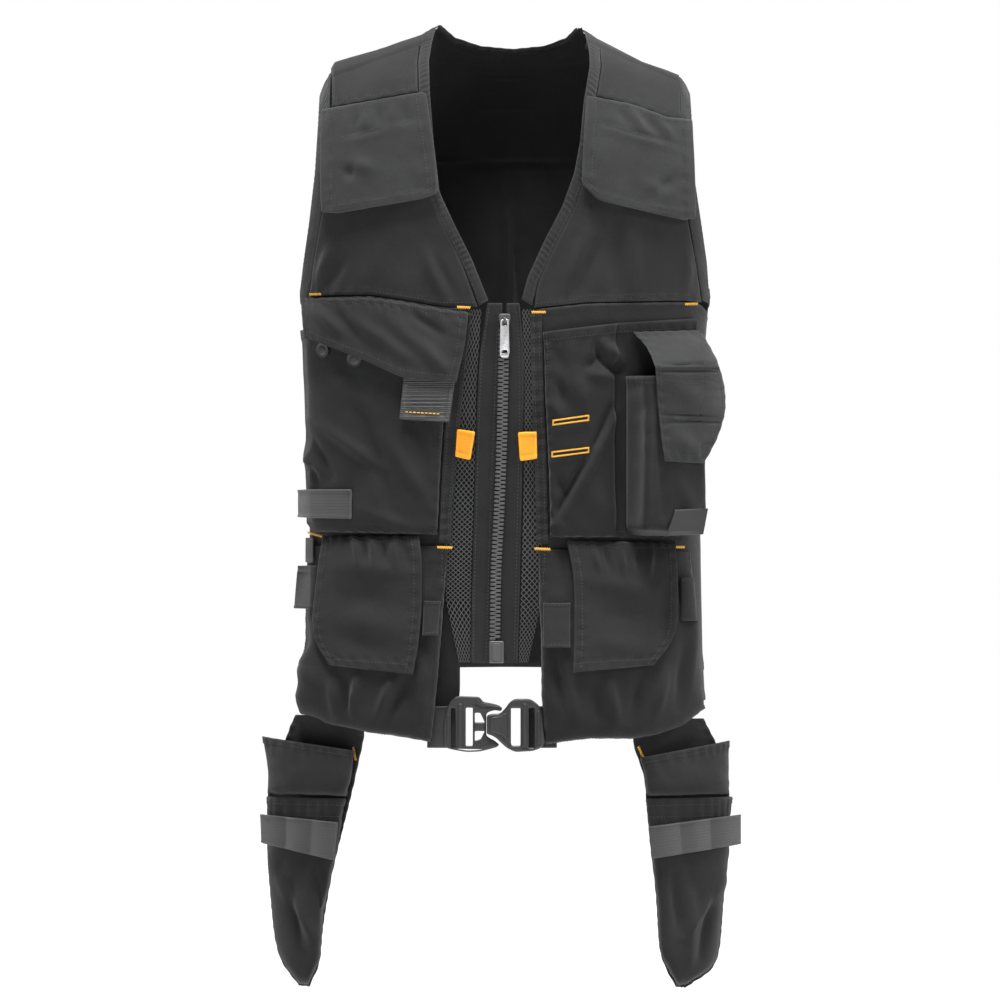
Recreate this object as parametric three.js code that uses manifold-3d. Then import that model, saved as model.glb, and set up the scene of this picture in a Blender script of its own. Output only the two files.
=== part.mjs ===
import * as THREE from 'three';
import { mergeVertices } from 'three/addons/utils/BufferGeometryUtils.js';
import Module from 'manifold-3d';

// Utility work vest, held up as it sits on its wearer. Sizes in millimetres.
// +Z is up, the front faces -Y, and the origin lies between the shoulders at the top of the vest.
// Left and right are the viewer's, looking at the front.

// Main sizes
const LENGTH = 700;             // shoulder level down to the lower edge of the pouches
const HALF_WIDTH = 205;         // middle of the chest to the outside of the vest
const CHEST_DEPTH = 116;        // shoulder line forward to the chest
const BACK_DEPTH = 118;         // shoulder line back to the shoulder blades
const CLOTH = 1.5;              // one layer of shell cloth
const SEAM_GAP = 0.4;           // clearance between neighbouring pieces
const ROUNDNESS = 2.4;          // fullness of the level sections
const SHOULDER_ROUNDNESS = 2.1; // fullness of the shoulders seen from the side
const ARCH_START = 0.27;        // share of LENGTH where the chest starts to turn into the shoulder
const SIDE_TURN = 89.95;        // degrees from the middle of a face to the side seam

// Pouches and flaps: how far each stands off the body
const LAYER = CLOTH + SEAM_GAP + 0.6; // one more layer of cloth, with room for the facets
const PAD = 3;                  // padded shoulder flap
const FLAP_STAND = 11;          // lower edge of the shoulder flap above the chest
const CHEST_POCKET_DEPTH = 12;
const PHONE_POCKET_DEPTH = 42;
const BAG_DEPTH = 24;
const LOOP_STAND = 4;            // middle of a loop above its ends
const WEBBING_WIDTH = 40;
const WEBBING = 2;
const HOLSTER_DEPTH = 26;
const HOLSTER_LEAN = 40;        // degrees that each holster faces outwards

// Zip
const CHAIN_WIDTH = 11;
const CHAIN_HEIGHT = 3;
const TOOTH_PITCH = 6;
const TOOTH_RELIEF = 0.9;
const SLIDER_LENGTH = 13;
const SLIDER_WIDTH = 12;
const SLIDER_HEIGHT = 3.4;
const BAIL_ROOM = 3.6;
const BAIL_WALL = 1.3;
const BAIL_WIDTH = 2.6;
const PULL_LENGTH = 38;
const PULL_WIDTH = 10;
const PULL_THICKNESS = 1.8;
const PULL_BAR = 1.6;
const PULL_EYE = 4.9;

// Net: cells across and down, and the share of a cell from its middle to each point of its diamond
const NET_THREAD = 1.2;
const NET_ACROSS = 2;
const NET_DOWN = 24;
const NET_OPENING = 0.34;

// Buckle
const BUCKLE_LENGTH = 101;
const BUCKLE_HEIGHT = 56;
const PLUG_THICKNESS = 6;
const SOCKET_THICKNESS = 10;

// The body that the vest hangs on, from the shoulder down.
// Columns: down (share of LENGTH), width (of HALF_WIDTH), front (of CHEST_DEPTH), back (of BACK_DEPTH)
const BODY = [
  [-0.1, 1.03, 0.97, 0.98],
  [0.27, 1.025, 1.0, 1.0],
  [0.37, 0.988, 0.99, 0.98],
  [0.43, 0.97, 0.98, 0.96],
  [0.55, 0.953, 0.96, 0.93],
  [0.7, 0.948, 0.94, 0.9],
  [0.86, 0.958, 0.96, 0.94],
  [1.02, 0.985, 0.99, 0.99],
];

// Height of the shoulder line. Columns: across (share of HALF_WIDTH), up (share of LENGTH)
const SHOULDER_LINE = [
  [-1.1, -0.16],
  [-0.92, -0.087],
  [-0.868, -0.05],
  [-0.824, -0.026],
  [-0.6, -0.007],
  [-0.4, 0.013],
  [-0.33, 0.027],
  [0, 0.034],
  [0.37, 0.023],
  [0.44, 0.008],
  [0.663, -0.026],
  [0.776, -0.037],
  [0.853, -0.046],
  [0.9, -0.07],
  [1.1, -0.16],
];

function tableValue(table, key, column) {
  const last = table.length - 1;
  if (key <= table[0][0]) return table[0][column];
  if (key >= table[last][0]) return table[last][column];
  let i = 0;
  while (table[i + 1][0] < key) i += 1;
  const span = table[i + 1][0] - table[i][0];
  const t = (key - table[i][0]) / span;
  return THREE.MathUtils.lerp(table[i][column], table[i + 1][column], t);
}

function shoulderHeight(x) {
  return tableValue(SHOULDER_LINE, x / HALF_WIDTH, 1) * LENGTH;
}

function section(z) {
  const down = Math.max(-z / LENGTH, ARCH_START);
  return {
    width: tableValue(BODY, down, 1) * HALF_WIDTH,
    front: tableValue(BODY, down, 2) * CHEST_DEPTH,
    back: tableValue(BODY, down, 3) * BACK_DEPTH,
  };
}

// 1 on the body's surface, more outside it
function bodyLevel(x, y, z) {
  const s = section(z);
  const depth = y < 0 ? s.front : s.back;
  const across = Math.pow(Math.abs(x) / s.width, ROUNDNESS);
  const start = -ARCH_START * LENGTH;
  if (z <= start) return across + Math.pow(Math.abs(y) / depth, ROUNDNESS);
  const reach = depth * Math.pow(Math.max(1 - across, 1e-4), 1 / ROUNDNESS);
  const rise = (z - start) / (shoulderHeight(x) - start);
  return Math.pow(Math.abs(y) / reach, SHOULDER_ROUNDNESS) + Math.pow(rise, SHOULDER_ROUNDNESS);
}

function outward(p) {
  const e = 0.2;
  const n = new THREE.Vector3(
    bodyLevel(p.x + e, p.y, p.z) - bodyLevel(p.x - e, p.y, p.z),
    bodyLevel(p.x, p.y + e, p.z) - bodyLevel(p.x, p.y - e, p.z),
    bodyLevel(p.x, p.y, p.z + e) - bodyLevel(p.x, p.y, p.z - e),
  );
  return n.normalize();
}

function turnToX(turn, z) {
  const s = Math.sin(turn);
  return section(z).width * Math.sign(s) * Math.pow(Math.abs(s), 2 / ROUNDNESS);
}

function xToTurn(x, z) {
  const share = Math.min(Math.abs(x) / section(z).width, 1);
  const limit = THREE.MathUtils.degToRad(SIDE_TURN);
  return Math.sign(x) * Math.min(Math.asin(Math.pow(share, ROUNDNESS / 2)), limit);
}

// face is -1 on the front and 1 on the back
function surfacePoint(turn, z, face) {
  const x = turnToX(turn, z);
  const top = shoulderHeight(x) - 0.005;
  const height = Math.min(z, top);
  const s = section(height);
  const depth = face < 0 ? s.front : s.back;
  let y = depth * Math.pow(Math.cos(turn), 2 / ROUNDNESS);
  const start = -ARCH_START * LENGTH;
  if (height > start) {
    const rise = (height - start) / (shoulderHeight(x) - start);
    y *= Math.pow(1 - Math.pow(rise, SHOULDER_ROUNDNESS), 1 / SHOULDER_ROUNDNESS);
  }
  return new THREE.Vector3(x, face * y, height);
}

// The point that lies `lift` off the body and is seen from the front at x and z
function drape(x, z, lift, face) {
  const limit = THREE.MathUtils.degToRad(SIDE_TURN);
  let height = z;
  let point = null;
  let normal = null;
  for (let pass = 0; pass < 3; pass += 1) {
    let low = -limit;
    let high = limit;
    for (let step = 0; step < 22; step += 1) {
      const middle = (low + high) / 2;
      point = surfacePoint(middle, height, face);
      normal = outward(point);
      if (point.x + normal.x * lift < x) low = middle;
      else high = middle;
    }
    height = z - normal.z * lift;
  }
  return point.clone().addScaledVector(normal, lift);
}

// A closed sheet from a grid of outer points: its inner face lies `thickness` inside it
function thickSheet(grid, thickness, face) {
  const rows = grid.length;
  const columns = grid[0].length;
  const inner = grid.map((line, i) => line.map((p, j) => {
    const left = grid[i][Math.max(j - 1, 0)];
    const right = grid[i][Math.min(j + 1, columns - 1)];
    const up = grid[Math.max(i - 1, 0)][j];
    const down = grid[Math.min(i + 1, rows - 1)][j];
    const across = new THREE.Vector3().subVectors(right, left);
    const along = new THREE.Vector3().subVectors(down, up);
    const normal = new THREE.Vector3().crossVectors(across, along).multiplyScalar(face).normalize();
    return p.clone().addScaledVector(normal, -thickness);
  }));
  const positions = [];
  grid.concat(inner).forEach((line) => line.forEach((p) => positions.push(p.x, p.y, p.z)));
  const index = [];
  const id = (layer, i, j) => (layer * rows + i) * columns + j;
  const quad = (a, b, c, d) => {
    if (face < 0) index.push(a, b, c, a, c, d);
    else index.push(a, c, b, a, d, c);
  };
  for (let i = 0; i < rows - 1; i += 1) {
    for (let j = 0; j < columns - 1; j += 1) {
      quad(id(0, i, j), id(0, i + 1, j), id(0, i + 1, j + 1), id(0, i, j + 1));
      quad(id(1, i, j), id(1, i, j + 1), id(1, i + 1, j + 1), id(1, i + 1, j));
    }
  }
  for (let i = 0; i < rows - 1; i += 1) {
    quad(id(0, i, 0), id(1, i, 0), id(1, i + 1, 0), id(0, i + 1, 0));
    const end = columns - 1;
    quad(id(0, i, end), id(0, i + 1, end), id(1, i + 1, end), id(1, i, end));
  }
  for (let j = 0; j < columns - 1; j += 1) {
    quad(id(0, 0, j), id(0, 0, j + 1), id(1, 0, j + 1), id(1, 0, j));
    const low = rows - 1;
    quad(id(0, low, j), id(1, low, j), id(1, low, j + 1), id(0, low, j + 1));
  }
  const geometry = new THREE.BufferGeometry();
  geometry.setAttribute('position', new THREE.Float32BufferAttribute(positions, 3));
  geometry.setIndex(index);
  geometry.computeVertexNormals();
  return geometry;
}

// A row lists the across and down shares of its points, from left to right
function rowPoint(row, t) {
  const last = row.length - 2;
  const startTurn = xToTurn(row[0] * HALF_WIDTH, -row[1] * LENGTH);
  const endTurn = xToTurn(row[last] * HALF_WIDTH, -row[last + 1] * LENGTH);
  const turn = THREE.MathUtils.lerp(startTurn, endTurn, t);
  const depth = THREE.MathUtils.lerp(row[1], row[last + 1], t);
  const edge = THREE.MathUtils.lerp(row[0], row[last], t);
  const inside = Math.abs(turn) < THREE.MathUtils.degToRad(SIDE_TURN) - 1e-6;
  const across = inside ? turnToX(turn, -depth * LENGTH) / HALF_WIDTH : edge;
  let k = 0;
  while (k < last - 2 && row[k + 2] < across) k += 2;
  const span = row[k + 2] - row[k];
  const share = span > 0 ? THREE.MathUtils.clamp((across - row[k]) / span, 0, 1) : 0;
  return [across, THREE.MathUtils.lerp(row[k + 1], row[k + 3], share)];
}

function straightRow(row, t) {
  const last = row.length - 2;
  const across = THREE.MathUtils.lerp(row[0], row[last], t);
  return [across, THREE.MathUtils.lerp(row[1], row[last + 1], t)];
}

// Even steps from 0 to 1, with one more close to each end that has a side wall
function shares(count, wall) {
  const list = Array.from({ length: count + 1 }, (_, i) => i / count);
  if (!wall) return list;
  return [0, wall].concat(list.slice(1, -1), [1 - wall, 1]);
}

function heightOf(lift, u, v) {
  return typeof lift === 'function' ? lift(u, v) : lift;
}

// A sheet of cloth laid on the body. Rows from `turnsBackAt` on lie on the back.
function sheet(rows, options) {
  const { lift, columns = 6, steps = 1, wall = 0, foot = 0, thickness = CLOTH } = options;
  const { face = -1, turnsBackAt = rows.length, place = drape } = options;
  const { across: stops = shares(columns, wall) } = options;
  const at = place === drape ? rowPoint : straightRow;
  const grid = [];
  const down = [];
  for (let i = 0; i < rows.length - 1; i += 1) {
    for (let k = 0; k < steps; k += 1) down.push(i + k / steps);
  }
  if (foot > 0) down.push(rows.length - 1 - foot);
  down.push(rows.length - 1);
  down.forEach((d) => {
    const i = Math.min(Math.floor(d), rows.length - 2);
    const v = d / (rows.length - 1);
    const side = d >= turnsBackAt ? -face : face;
    grid.push(stops.map((u) => {
      const a = at(rows[i], u);
      const b = at(rows[i + 1], u);
      const across = THREE.MathUtils.lerp(a[0], b[0], d - i);
      const depth = THREE.MathUtils.lerp(a[1], b[1], d - i);
      return place(across * HALF_WIDTH, -depth * LENGTH, heightOf(lift, u, v), side);
    }));
  });
  return thickSheet(grid, thickness, turnsBackAt < rows.length ? 1 : face);
}

// A narrow strip with its own face in the last column: 1 for a row on the back
function strip(rows, lift, thickness) {
  const grid = rows.map(([left, leftDown, right, rightDown, face]) => [
    drape(left * HALF_WIDTH, -leftDown * LENGTH, lift, face),
    drape(right * HALF_WIDTH, -rightDown * LENGTH, lift, face),
  ]);
  return thickSheet(grid, thickness, -1);
}

// 0 at both ends and 1 between, fuller for a larger power
function full(t, power) {
  return Math.pow(Math.max(1 - Math.pow(Math.abs(2 * t - 1), power), 0), 1 / power);
}

// A pouch stands off its foot and closes at the sides and the bottom; `mouth` is its top's share
function pouch(foot, depth, mouth) {
  return (u, v) => {
    const belly = mouth + (1 - mouth) * Math.sin(Math.min(v * 1.4, 1) * Math.PI / 2);
    const bottom = Math.pow(Math.max(1 - Math.pow(v, 10), 0), 1 / 5);
    return foot + depth * full(u, 4) * belly * bottom;
  };
}

// A flap is sewn down along its top and stands off at its lower edge
function flap(top, bottom) {
  return (u, v) => THREE.MathUtils.lerp(top, bottom, Math.pow(v, 0.55));
}

const SHELL = CLOTH;
const ON_SHELL = SHELL + LAYER;
const ON_POCKET = ON_SHELL + LAYER;
const BEHIND_SHELL = -SEAM_GAP - 0.3;
const CHEST_POCKET_TOP = ON_SHELL + CHEST_POCKET_DEPTH;
const PHONE_FRONT = ON_POCKET + PHONE_POCKET_DEPTH;
const BAG_FRONT = ON_SHELL + BAG_DEPTH;

// Each table below: a row for each level, from the top down; across and down shares of its points
const CHEST_PANEL_LEFT = [
  [-0.839, 0.0907, -0.425, 0.07],
  [-0.859, 0.15, -0.406, 0.1414],
  [-0.873, 0.2071, -0.371, 0.2143],
  [-0.9, 0.2586, -0.29, 0.2671],
  [-0.932, 0.31, -0.212, 0.3129],
  [-0.951, 0.3571, -0.659, 0.3571, -0.498, 0.3643, -0.298, 0.3743, -0.137, 0.3743],
];
const CHEST_PANEL_RIGHT = [
  [0.444, 0.0764, 0.615, 0.0871, 0.795, 0.1057, 0.856, 0.1086],
  [0.422, 0.1429, 0.863, 0.1643],
  [0.393, 0.19, 0.866, 0.2071],
  [0.329, 0.24, 0.895, 0.2586],
  [0.237, 0.2929, 0.927, 0.31],
  [0.161, 0.34, 0.946, 0.3429],
  [0.144, 0.3757, 0.395, 0.3679, 0.873, 0.365, 0.956, 0.3671],
];
const YOKE_LEFT = [
  [-0.839, 0.0891, -0.427, 0.0684],
  [-0.844, 0.0557, -0.432, 0.0243],
  [-0.846, 0.0357, -0.42, -0.0014],
  [-0.846, 0.01, -0.39, -0.0357],
  [-0.844, 0.05, -0.361, -0.0014],
  [-0.841, 0.08, -0.322, 0.0157],
];
const YOKE_RIGHT = [
  [0.449, 0.0749, 0.615, 0.0856, 0.795, 0.1041, 0.856, 0.107],
  [0.476, 0.03, 0.854, 0.0729],
  [0.468, 0.0043, 0.851, 0.05],
  [0.434, -0.0357, 0.851, 0.0214],
  [0.395, 0, 0.846, 0.0557],
  [0.366, 0.0171, 0.849, 0.0829],
];
const BACK_YOKE = [
  [-0.841, 0.0843, -0.327, 0.02, -0.31, -0.0014, -0.259, 0.0036, -0.132, 0.0164, 0.039, 0.0207,
    0.205, 0.0164,
    0.312, 0.0079, 0.337, 0.0086, 0.351, 0.0243, 0.849, 0.0871],
  [-0.844, 0.1186, 0, 0.0929, 0.854, 0.1186],
  [-0.851, 0.1536, 0, 0.1536, 0.859, 0.1536],
];
const BACK_PANEL = [
  [-0.844, 0.1571, 0, 0.1571, 0.844, 0.1571],
  [-0.854, 0.2071, 0, 0.2071, 0.859, 0.2071],
  [-0.88, 0.2586, 0, 0.2586, 0.885, 0.2586],
  [-0.915, 0.3271, 0, 0.3214, 0.92, 0.3271],
  [-1.049, 0.3871, -0.966, 0.3786, 0, 0.3771, 0.956, 0.3786, 1.049, 0.3871],
  [-1.049, 0.4886, 1.049, 0.4886],
  [-1.049, 0.6071, 1.049, 0.6071],
  [-1.049, 0.7357, 1.049, 0.7357],
  [-1.049, 0.8929, 0, 0.89, 1.049, 0.8929],
];
const NECK_BAND = [
  [-0.324, -0.0329, -0.244, -0.0136, -0.122, -0.0021, 0.039, 0.0021, 0.195, -0.0021, 0.298, -0.0129,
    0.371, -0.0329],
  [-0.346, -0.0129, -0.259, 0.0014, -0.132, 0.0129, 0.039, 0.0171, 0.205, 0.0129, 0.322, 0.0029,
    0.395, -0.0114],
];
const NECK_LEFT = [
  [-0.378, -0.0357, -0.329, -0.0414, -1],
  [-0.41, 0, -0.361, -0.0014, -1],
  [-0.422, 0.0243, -0.373, 0.0229, -1],
  [-0.417, 0.0671, -0.368, 0.0671, -1],
  [-0.398, 0.1414, -0.349, 0.14, -1],
  [-0.366, 0.2171, -0.319, 0.2129, -1],
  [-0.285, 0.2686, -0.239, 0.2629, -1],
  [-0.205, 0.3143, -0.161, 0.3086, -1],
  [-0.146, 0.3557, -0.105, 0.35, -1],
  [-0.127, 0.3729, -0.083, 0.3657, -1],
];
const NECK_RIGHT = [
  [0.376, -0.0414, 0.429, -0.0357, -1],
  [0.412, 0.0071, 0.461, 0.0029, -1],
  [0.415, 0.03, 0.466, 0.0314, -1],
  [0.385, 0.0814, 0.437, 0.0843, -1],
  [0.366, 0.14, 0.417, 0.1429, -1],
  [0.337, 0.1857, 0.388, 0.19, -1],
  [0.278, 0.2329, 0.324, 0.24, -1],
  [0.185, 0.2857, 0.232, 0.2929, -1],
  [0.112, 0.3329, 0.156, 0.34, -1],
  [0.083, 0.3643, 0.129, 0.3729, -1],
];
const ARMHOLE_LEFT = [
  [-0.902, 0.0357, -0.854, 0.0214, -1],
  [-0.912, 0.11, -0.863, 0.11, -1],
  [-0.927, 0.1829, -0.878, 0.1829, -1],
  [-0.956, 0.2557, -0.905, 0.2586, -1],
  [-0.985, 0.3129, -0.939, 0.3186, -1],
  [-1, 0.3471, -0.971, 0.3643, -1],
  [-1.098, 0.3614, -1.098, 0.3786, -1],
  [-1, 0.3471, -0.971, 0.3643, 1],
  [-0.976, 0.3129, -0.929, 0.3186, 1],
  [-0.946, 0.2557, -0.895, 0.2586, 1],
  [-0.917, 0.1829, -0.866, 0.1829, 1],
  [-0.902, 0.11, -0.851, 0.11, 1],
  [-0.902, 0.0557, -0.851, 0.0414, 1],
];
const ARMHOLE_RIGHT = [
  [0.856, 0.03, 0.902, 0.05, -1],
  [0.863, 0.11, 0.912, 0.11, -1],
  [0.871, 0.1829, 0.92, 0.1829, -1],
  [0.905, 0.2586, 0.956, 0.2529, -1],
  [0.939, 0.3157, 0.985, 0.31, -1],
  [0.966, 0.3643, 0.995, 0.3471, -1],
  [1.098, 0.3786, 1.098, 0.3614, -1],
  [0.966, 0.3643, 0.995, 0.3471, 1],
  [0.934, 0.3186, 0.98, 0.3129, 1],
  [0.902, 0.2586, 0.951, 0.2557, 1],
  [0.866, 0.1829, 0.915, 0.1829, 1],
  [0.856, 0.11, 0.905, 0.11, 1],
  [0.854, 0.0471, 0.898, 0.0671, 1],
];
const FLAP_LEFT = [
  [-0.895, 0.0929, -0.39, 0.0686],
  [-0.9, 0.1643, -0.351, 0.14],
  [-0.898, 0.2071, -0.332, 0.1857],
  [-0.893, 0.2386, -0.815, 0.2407, -0.4, 0.2207, -0.327, 0.2129],
];
const FLAP_RIGHT = [
  [0.4, 0.0743, 0.615, 0.0857, 0.795, 0.1043, 0.912, 0.1071],
  [0.385, 0.14, 0.922, 0.1643],
  [0.376, 0.1929, 0.927, 0.21],
  [0.38, 0.2014, 0.454, 0.2229, 0.776, 0.2443, 0.873, 0.25, 0.927, 0.2471],
];
const FRONT_LEFT = [
  [-1.049, 0.3871, -0.98, 0.3757, -0.902, 0.3621, -0.659, 0.36, -0.498, 0.3671, -0.298, 0.3771,
    -0.19, 0.3774],
  [-1.049, 0.43, -0.21, 0.43],
  [-1.049, 0.4886, -0.229, 0.4886],
  [-1.049, 0.59, -0.263, 0.59],
  [-1.049, 0.7329, -0.293, 0.7329],
  [-1.049, 0.85, -0.327, 0.85],
  [-1.049, 0.9357, -0.366, 0.9414],
];
const FRONT_RIGHT = [
  [0.151, 0.3793, 0.395, 0.3714, 0.873, 0.3686, 0.956, 0.3721, 0.976, 0.3786, 1.049, 0.39],
  [0.154, 0.43, 1.049, 0.43],
  [0.156, 0.4886, 1.049, 0.4886],
  [0.171, 0.5914, 1.049, 0.5914],
  [0.185, 0.7329, 1.049, 0.7329],
  [0.195, 0.85, 1.049, 0.85],
  [0.215, 0.9414, 1.049, 0.9357],
];
const EDGE_LEFT = [
  [-0.239, 0.3864, -0.166, 0.385],
  [-0.273, 0.4886, -0.205, 0.4886],
  [-0.3, 0.59, -0.239, 0.59],
  [-0.312, 0.6671, -0.261, 0.6671],
  [-0.317, 0.7114, -0.266, 0.7114],
];
const EDGE_RIGHT = [
  [0.127, 0.3857, 0.176, 0.3843],
  [0.132, 0.4886, 0.183, 0.4886],
  [0.146, 0.5914, 0.198, 0.5914],
  [0.156, 0.7, 0.207, 0.7],
  [0.156, 0.7114, 0.207, 0.7114],
];
const MESH_LEFT = [
  [-0.185, 0.3786, -0.115, 0.3786],
  [-0.22, 0.4886, -0.139, 0.4886],
  [-0.259, 0.59, -0.146, 0.59],
  [-0.283, 0.6671, -0.154, 0.6671],
  [-0.288, 0.7329, -0.161, 0.7329],
  [-0.288, 0.7929, -0.166, 0.7929],
  [-0.224, 0.8814, -0.168, 0.8814],
];
const MESH_RIGHT = [
  [0.083, 0.3786, 0.146, 0.3786],
  [0.095, 0.4886, 0.156, 0.4886],
  [0.093, 0.59, 0.171, 0.59],
  [0.085, 0.7, 0.18, 0.7],
  [0.076, 0.7929, 0.18, 0.7929],
  [0.066, 0.8814, 0.112, 0.8814],
];
const TAPE_LEFT = [
  [-0.083, 0.3707, -0.015, 0.3707],
  [-0.117, 0.4357, -0.024, 0.4357],
  [-0.132, 0.5071, -0.034, 0.5071],
  [-0.146, 0.65, -0.054, 0.65],
  [-0.159, 0.7929, -0.068, 0.7929],
  [-0.161, 0.8814, -0.078, 0.8814],
];
const TAPE_RIGHT = [
  [0.01, 0.3707, 0.068, 0.3707],
  [0.01, 0.4357, 0.088, 0.4357],
  [0, 0.5071, 0.088, 0.5071],
  [-0.01, 0.65, 0.078, 0.65],
  [-0.034, 0.7929, 0.068, 0.7929],
  [-0.044, 0.8814, 0.059, 0.8814],
];
const CHAIN_LINE = [
  [-0.005, 0.4057],
  [-0.007, 0.45],
  [-0.015, 0.5643],
  [-0.029, 0.6671],
  [-0.044, 0.7486],
  [-0.049, 0.8471],
];
const TAB_LEFT = [
  [-0.229, 0.5514, -0.151, 0.5543],
  [-0.237, 0.5871, -0.173, 0.5914],
];
const TAB_RIGHT = [
  [0.068, 0.5557, 0.149, 0.5543],
  [0.078, 0.5929, 0.151, 0.59],
];
const POCKET_LEFT = [
  [-1, 0.4071, -0.254, 0.4129],
  [-1, 0.4886, -0.285, 0.4886],
  [-1.01, 0.59, -0.312, 0.59],
  [-1.01, 0.6671, -0.324, 0.6671],
  [-0.937, 0.6957, -0.329, 0.6986],
];
const POCKET_FLAP = [
  [-0.995, 0.3629, -0.659, 0.3621, -0.498, 0.3693, -0.298, 0.3793, -0.18, 0.3829],
  [-0.99, 0.39, -0.805, 0.3971, -0.498, 0.4143, -0.195, 0.4286],
  [-0.98, 0.4171, -0.839, 0.4329, -0.69, 0.45, -0.507, 0.4743, -0.366, 0.48, -0.239, 0.4829],
];
const PLAQUE = [
  [-0.488, 0.47, -0.244, 0.4771],
  [-0.512, 0.5343, -0.273, 0.5386],
];
const WEBBING_LOOP = [
  [-1.01, 0.6357, -0.751, 0.6357],
  [-1.01, 0.6743, -0.751, 0.6757],
];
const POCKET_RIGHT = [
  [0.188, 0.4114, 0.556, 0.3986, 0.937, 0.3914],
  [0.195, 0.4886, 0.912, 0.4886],
  [0.21, 0.5914, 0.902, 0.5914],
  [0.22, 0.6671, 0.902, 0.6671],
  [0.22, 0.7029, 0.902, 0.7029],
];
const PHONE_FLAP = [
  [0.624, 0.4114, 0.785, 0.41, 0.951, 0.4086],
  [0.688, 0.43, 0.976, 0.4214],
  [0.732, 0.4586, 1.034, 0.4529],
  [0.737, 0.4886, 1.068, 0.4886],
  [0.746, 0.5214, 1.073, 0.5243],
  [0.761, 0.5643, 1.029, 0.5643],
  [0.776, 0.5943, 0.966, 0.5971],
];
// Columns follow the pocket round: left foot, left edge, middle, right edge, right foot
const PHONE_POCKET = [
  [0.59, 0.4743, 0.678, 0.4743, 0.829, 0.4743, 0.98, 0.4743, 0.883, 0.4743],
  [0.59, 0.55, 0.673, 0.55, 0.829, 0.55, 0.985, 0.55, 0.883, 0.55],
  [0.59, 0.6357, 0.668, 0.6357, 0.829, 0.6357, 0.985, 0.6357, 0.883, 0.6357],
  [0.59, 0.6871, 0.673, 0.6929, 0.829, 0.6943, 0.98, 0.6929, 0.883, 0.6871],
  [0.6, 0.6986, 0.683, 0.7014, 0.805, 0.7014, 0.863, 0.7, 0.878, 0.6971],
];
const SIDE_TAG = [
  [0.829, 0.6643, 0.985, 0.6621],
  [0.785, 0.7, 0.961, 0.6986],
];
const BAG_LEFT = [
  [-0.98, 0.7157, -0.278, 0.7157],
  [-1.034, 0.7886, -0.295, 0.7886],
  [-1.054, 0.85, -0.312, 0.85],
  [-1.059, 0.9043, -0.332, 0.9214],
  [-1.02, 0.9386, -0.873, 0.9686, -0.688, 0.9786, -0.359, 0.9943],
];
const BAG_RIGHT = [
  [0.166, 0.72, 0.902, 0.7243],
  [0.166, 0.7971, 0.932, 0.7971],
  [0.176, 0.86, 0.951, 0.86],
  [0.176, 0.9229, 0.966, 0.9186],
  [0.195, 0.9971, 0.41, 0.9894, 0.615, 0.99, 0.732, 0.9843, 0.868, 0.9714, 0.976, 0.9471],
];
const BAG_FLAP_LEFT = [
  [-0.885, 0.7029, -0.42, 0.7014],
  [-0.907, 0.7386, -0.405, 0.7357],
  [-0.937, 0.8143, -0.407, 0.81],
  [-0.927, 0.85, -0.424, 0.8571],
  [-0.854, 0.8843, -0.449, 0.8971],
];
const BAG_FLAP_RIGHT = [
  [0.302, 0.7086, 0.829, 0.7114],
  [0.337, 0.7557, 0.839, 0.76],
  [0.34, 0.8271, 0.839, 0.8329],
  [0.337, 0.8643, 0.795, 0.8571],
  [0.332, 0.8943, 0.722, 0.8843],
];
const LOOP_LEFT_OUTER = [
  [-1.015, 0.7443, -0.912, 0.7443],
  [-1.029, 0.8043, -0.932, 0.8043],
];
const LOOP_LEFT_INNER = [
  [-0.395, 0.7943, -0.312, 0.7943],
  [-0.4, 0.8414, -0.327, 0.8414],
];
const LOOP_RIGHT_INNER = [
  [0.185, 0.7971, 0.317, 0.7971],
  [0.185, 0.8586, 0.317, 0.8586],
];
const LOOP_RIGHT_OUTER = [
  [0.851, 0.7614, 0.922, 0.7614],
  [0.851, 0.8214, 0.937, 0.8214],
];
const STRAP = [
  [-0.971, 0.7043, -0.937, 0.7043],
  [-0.971, 0.7386, -0.937, 0.7386],
];
const INNER_LAYER = [
  [-0.361, 0.7786, -0.259, 0.7814],
  [-0.366, 0.85, -0.222, 0.8571],
  [-0.376, 0.9357, -0.22, 0.9357],
  [-0.385, 0.9829, -0.283, 0.985],
];
const HOLSTER_BACK_LEFT = [
  [-1.02, 0.9571, -0.902, 0.9771, -0.698, 0.9614],
  [-1.049, 0.9743, -0.883, 0.9857, -0.688, 0.9743],
  [-1.068, 0.9929, -0.878, 0.9943, -0.685, 0.9857],
  [-1.151, 1.0371, -0.727, 1.04],
  [-1.161, 1.0786, -0.756, 1.0786],
  [-1.161, 1.1514, -0.82, 1.1514],
  [-1.151, 1.1957, -0.854, 1.1957],
  [-1.127, 1.2743, -0.893, 1.2643],
  [-1.093, 1.3114, -0.902, 1.3114],
  [-1.005, 1.3429, -0.956, 1.3443],
];
const HOLSTER_UPPER_LEFT = [
  [-1.185, 0.9886, -0.737, 1.0071],
  [-1.156, 1.0371, -0.746, 1.0429],
  [-1.161, 1.07, -0.771, 1.0714],
];
const HOLSTER_LOWER_LEFT = [
  [-1.161, 1.0743, -0.776, 1.0757],
  [-1.161, 1.1514, -0.82, 1.1514],
  [-1.151, 1.1957, -0.854, 1.1957],
  [-1.127, 1.2743, -0.893, 1.2643],
  [-1.088, 1.3086, -0.907, 1.31],
  [-1.005, 1.34, -0.961, 1.3414],
];
const HOLSTER_LOOPS_LEFT = [
  [-1.195, 1.1, -0.815, 1.11],
  [-1.19, 1.1386, -0.834, 1.1614],
];
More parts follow.
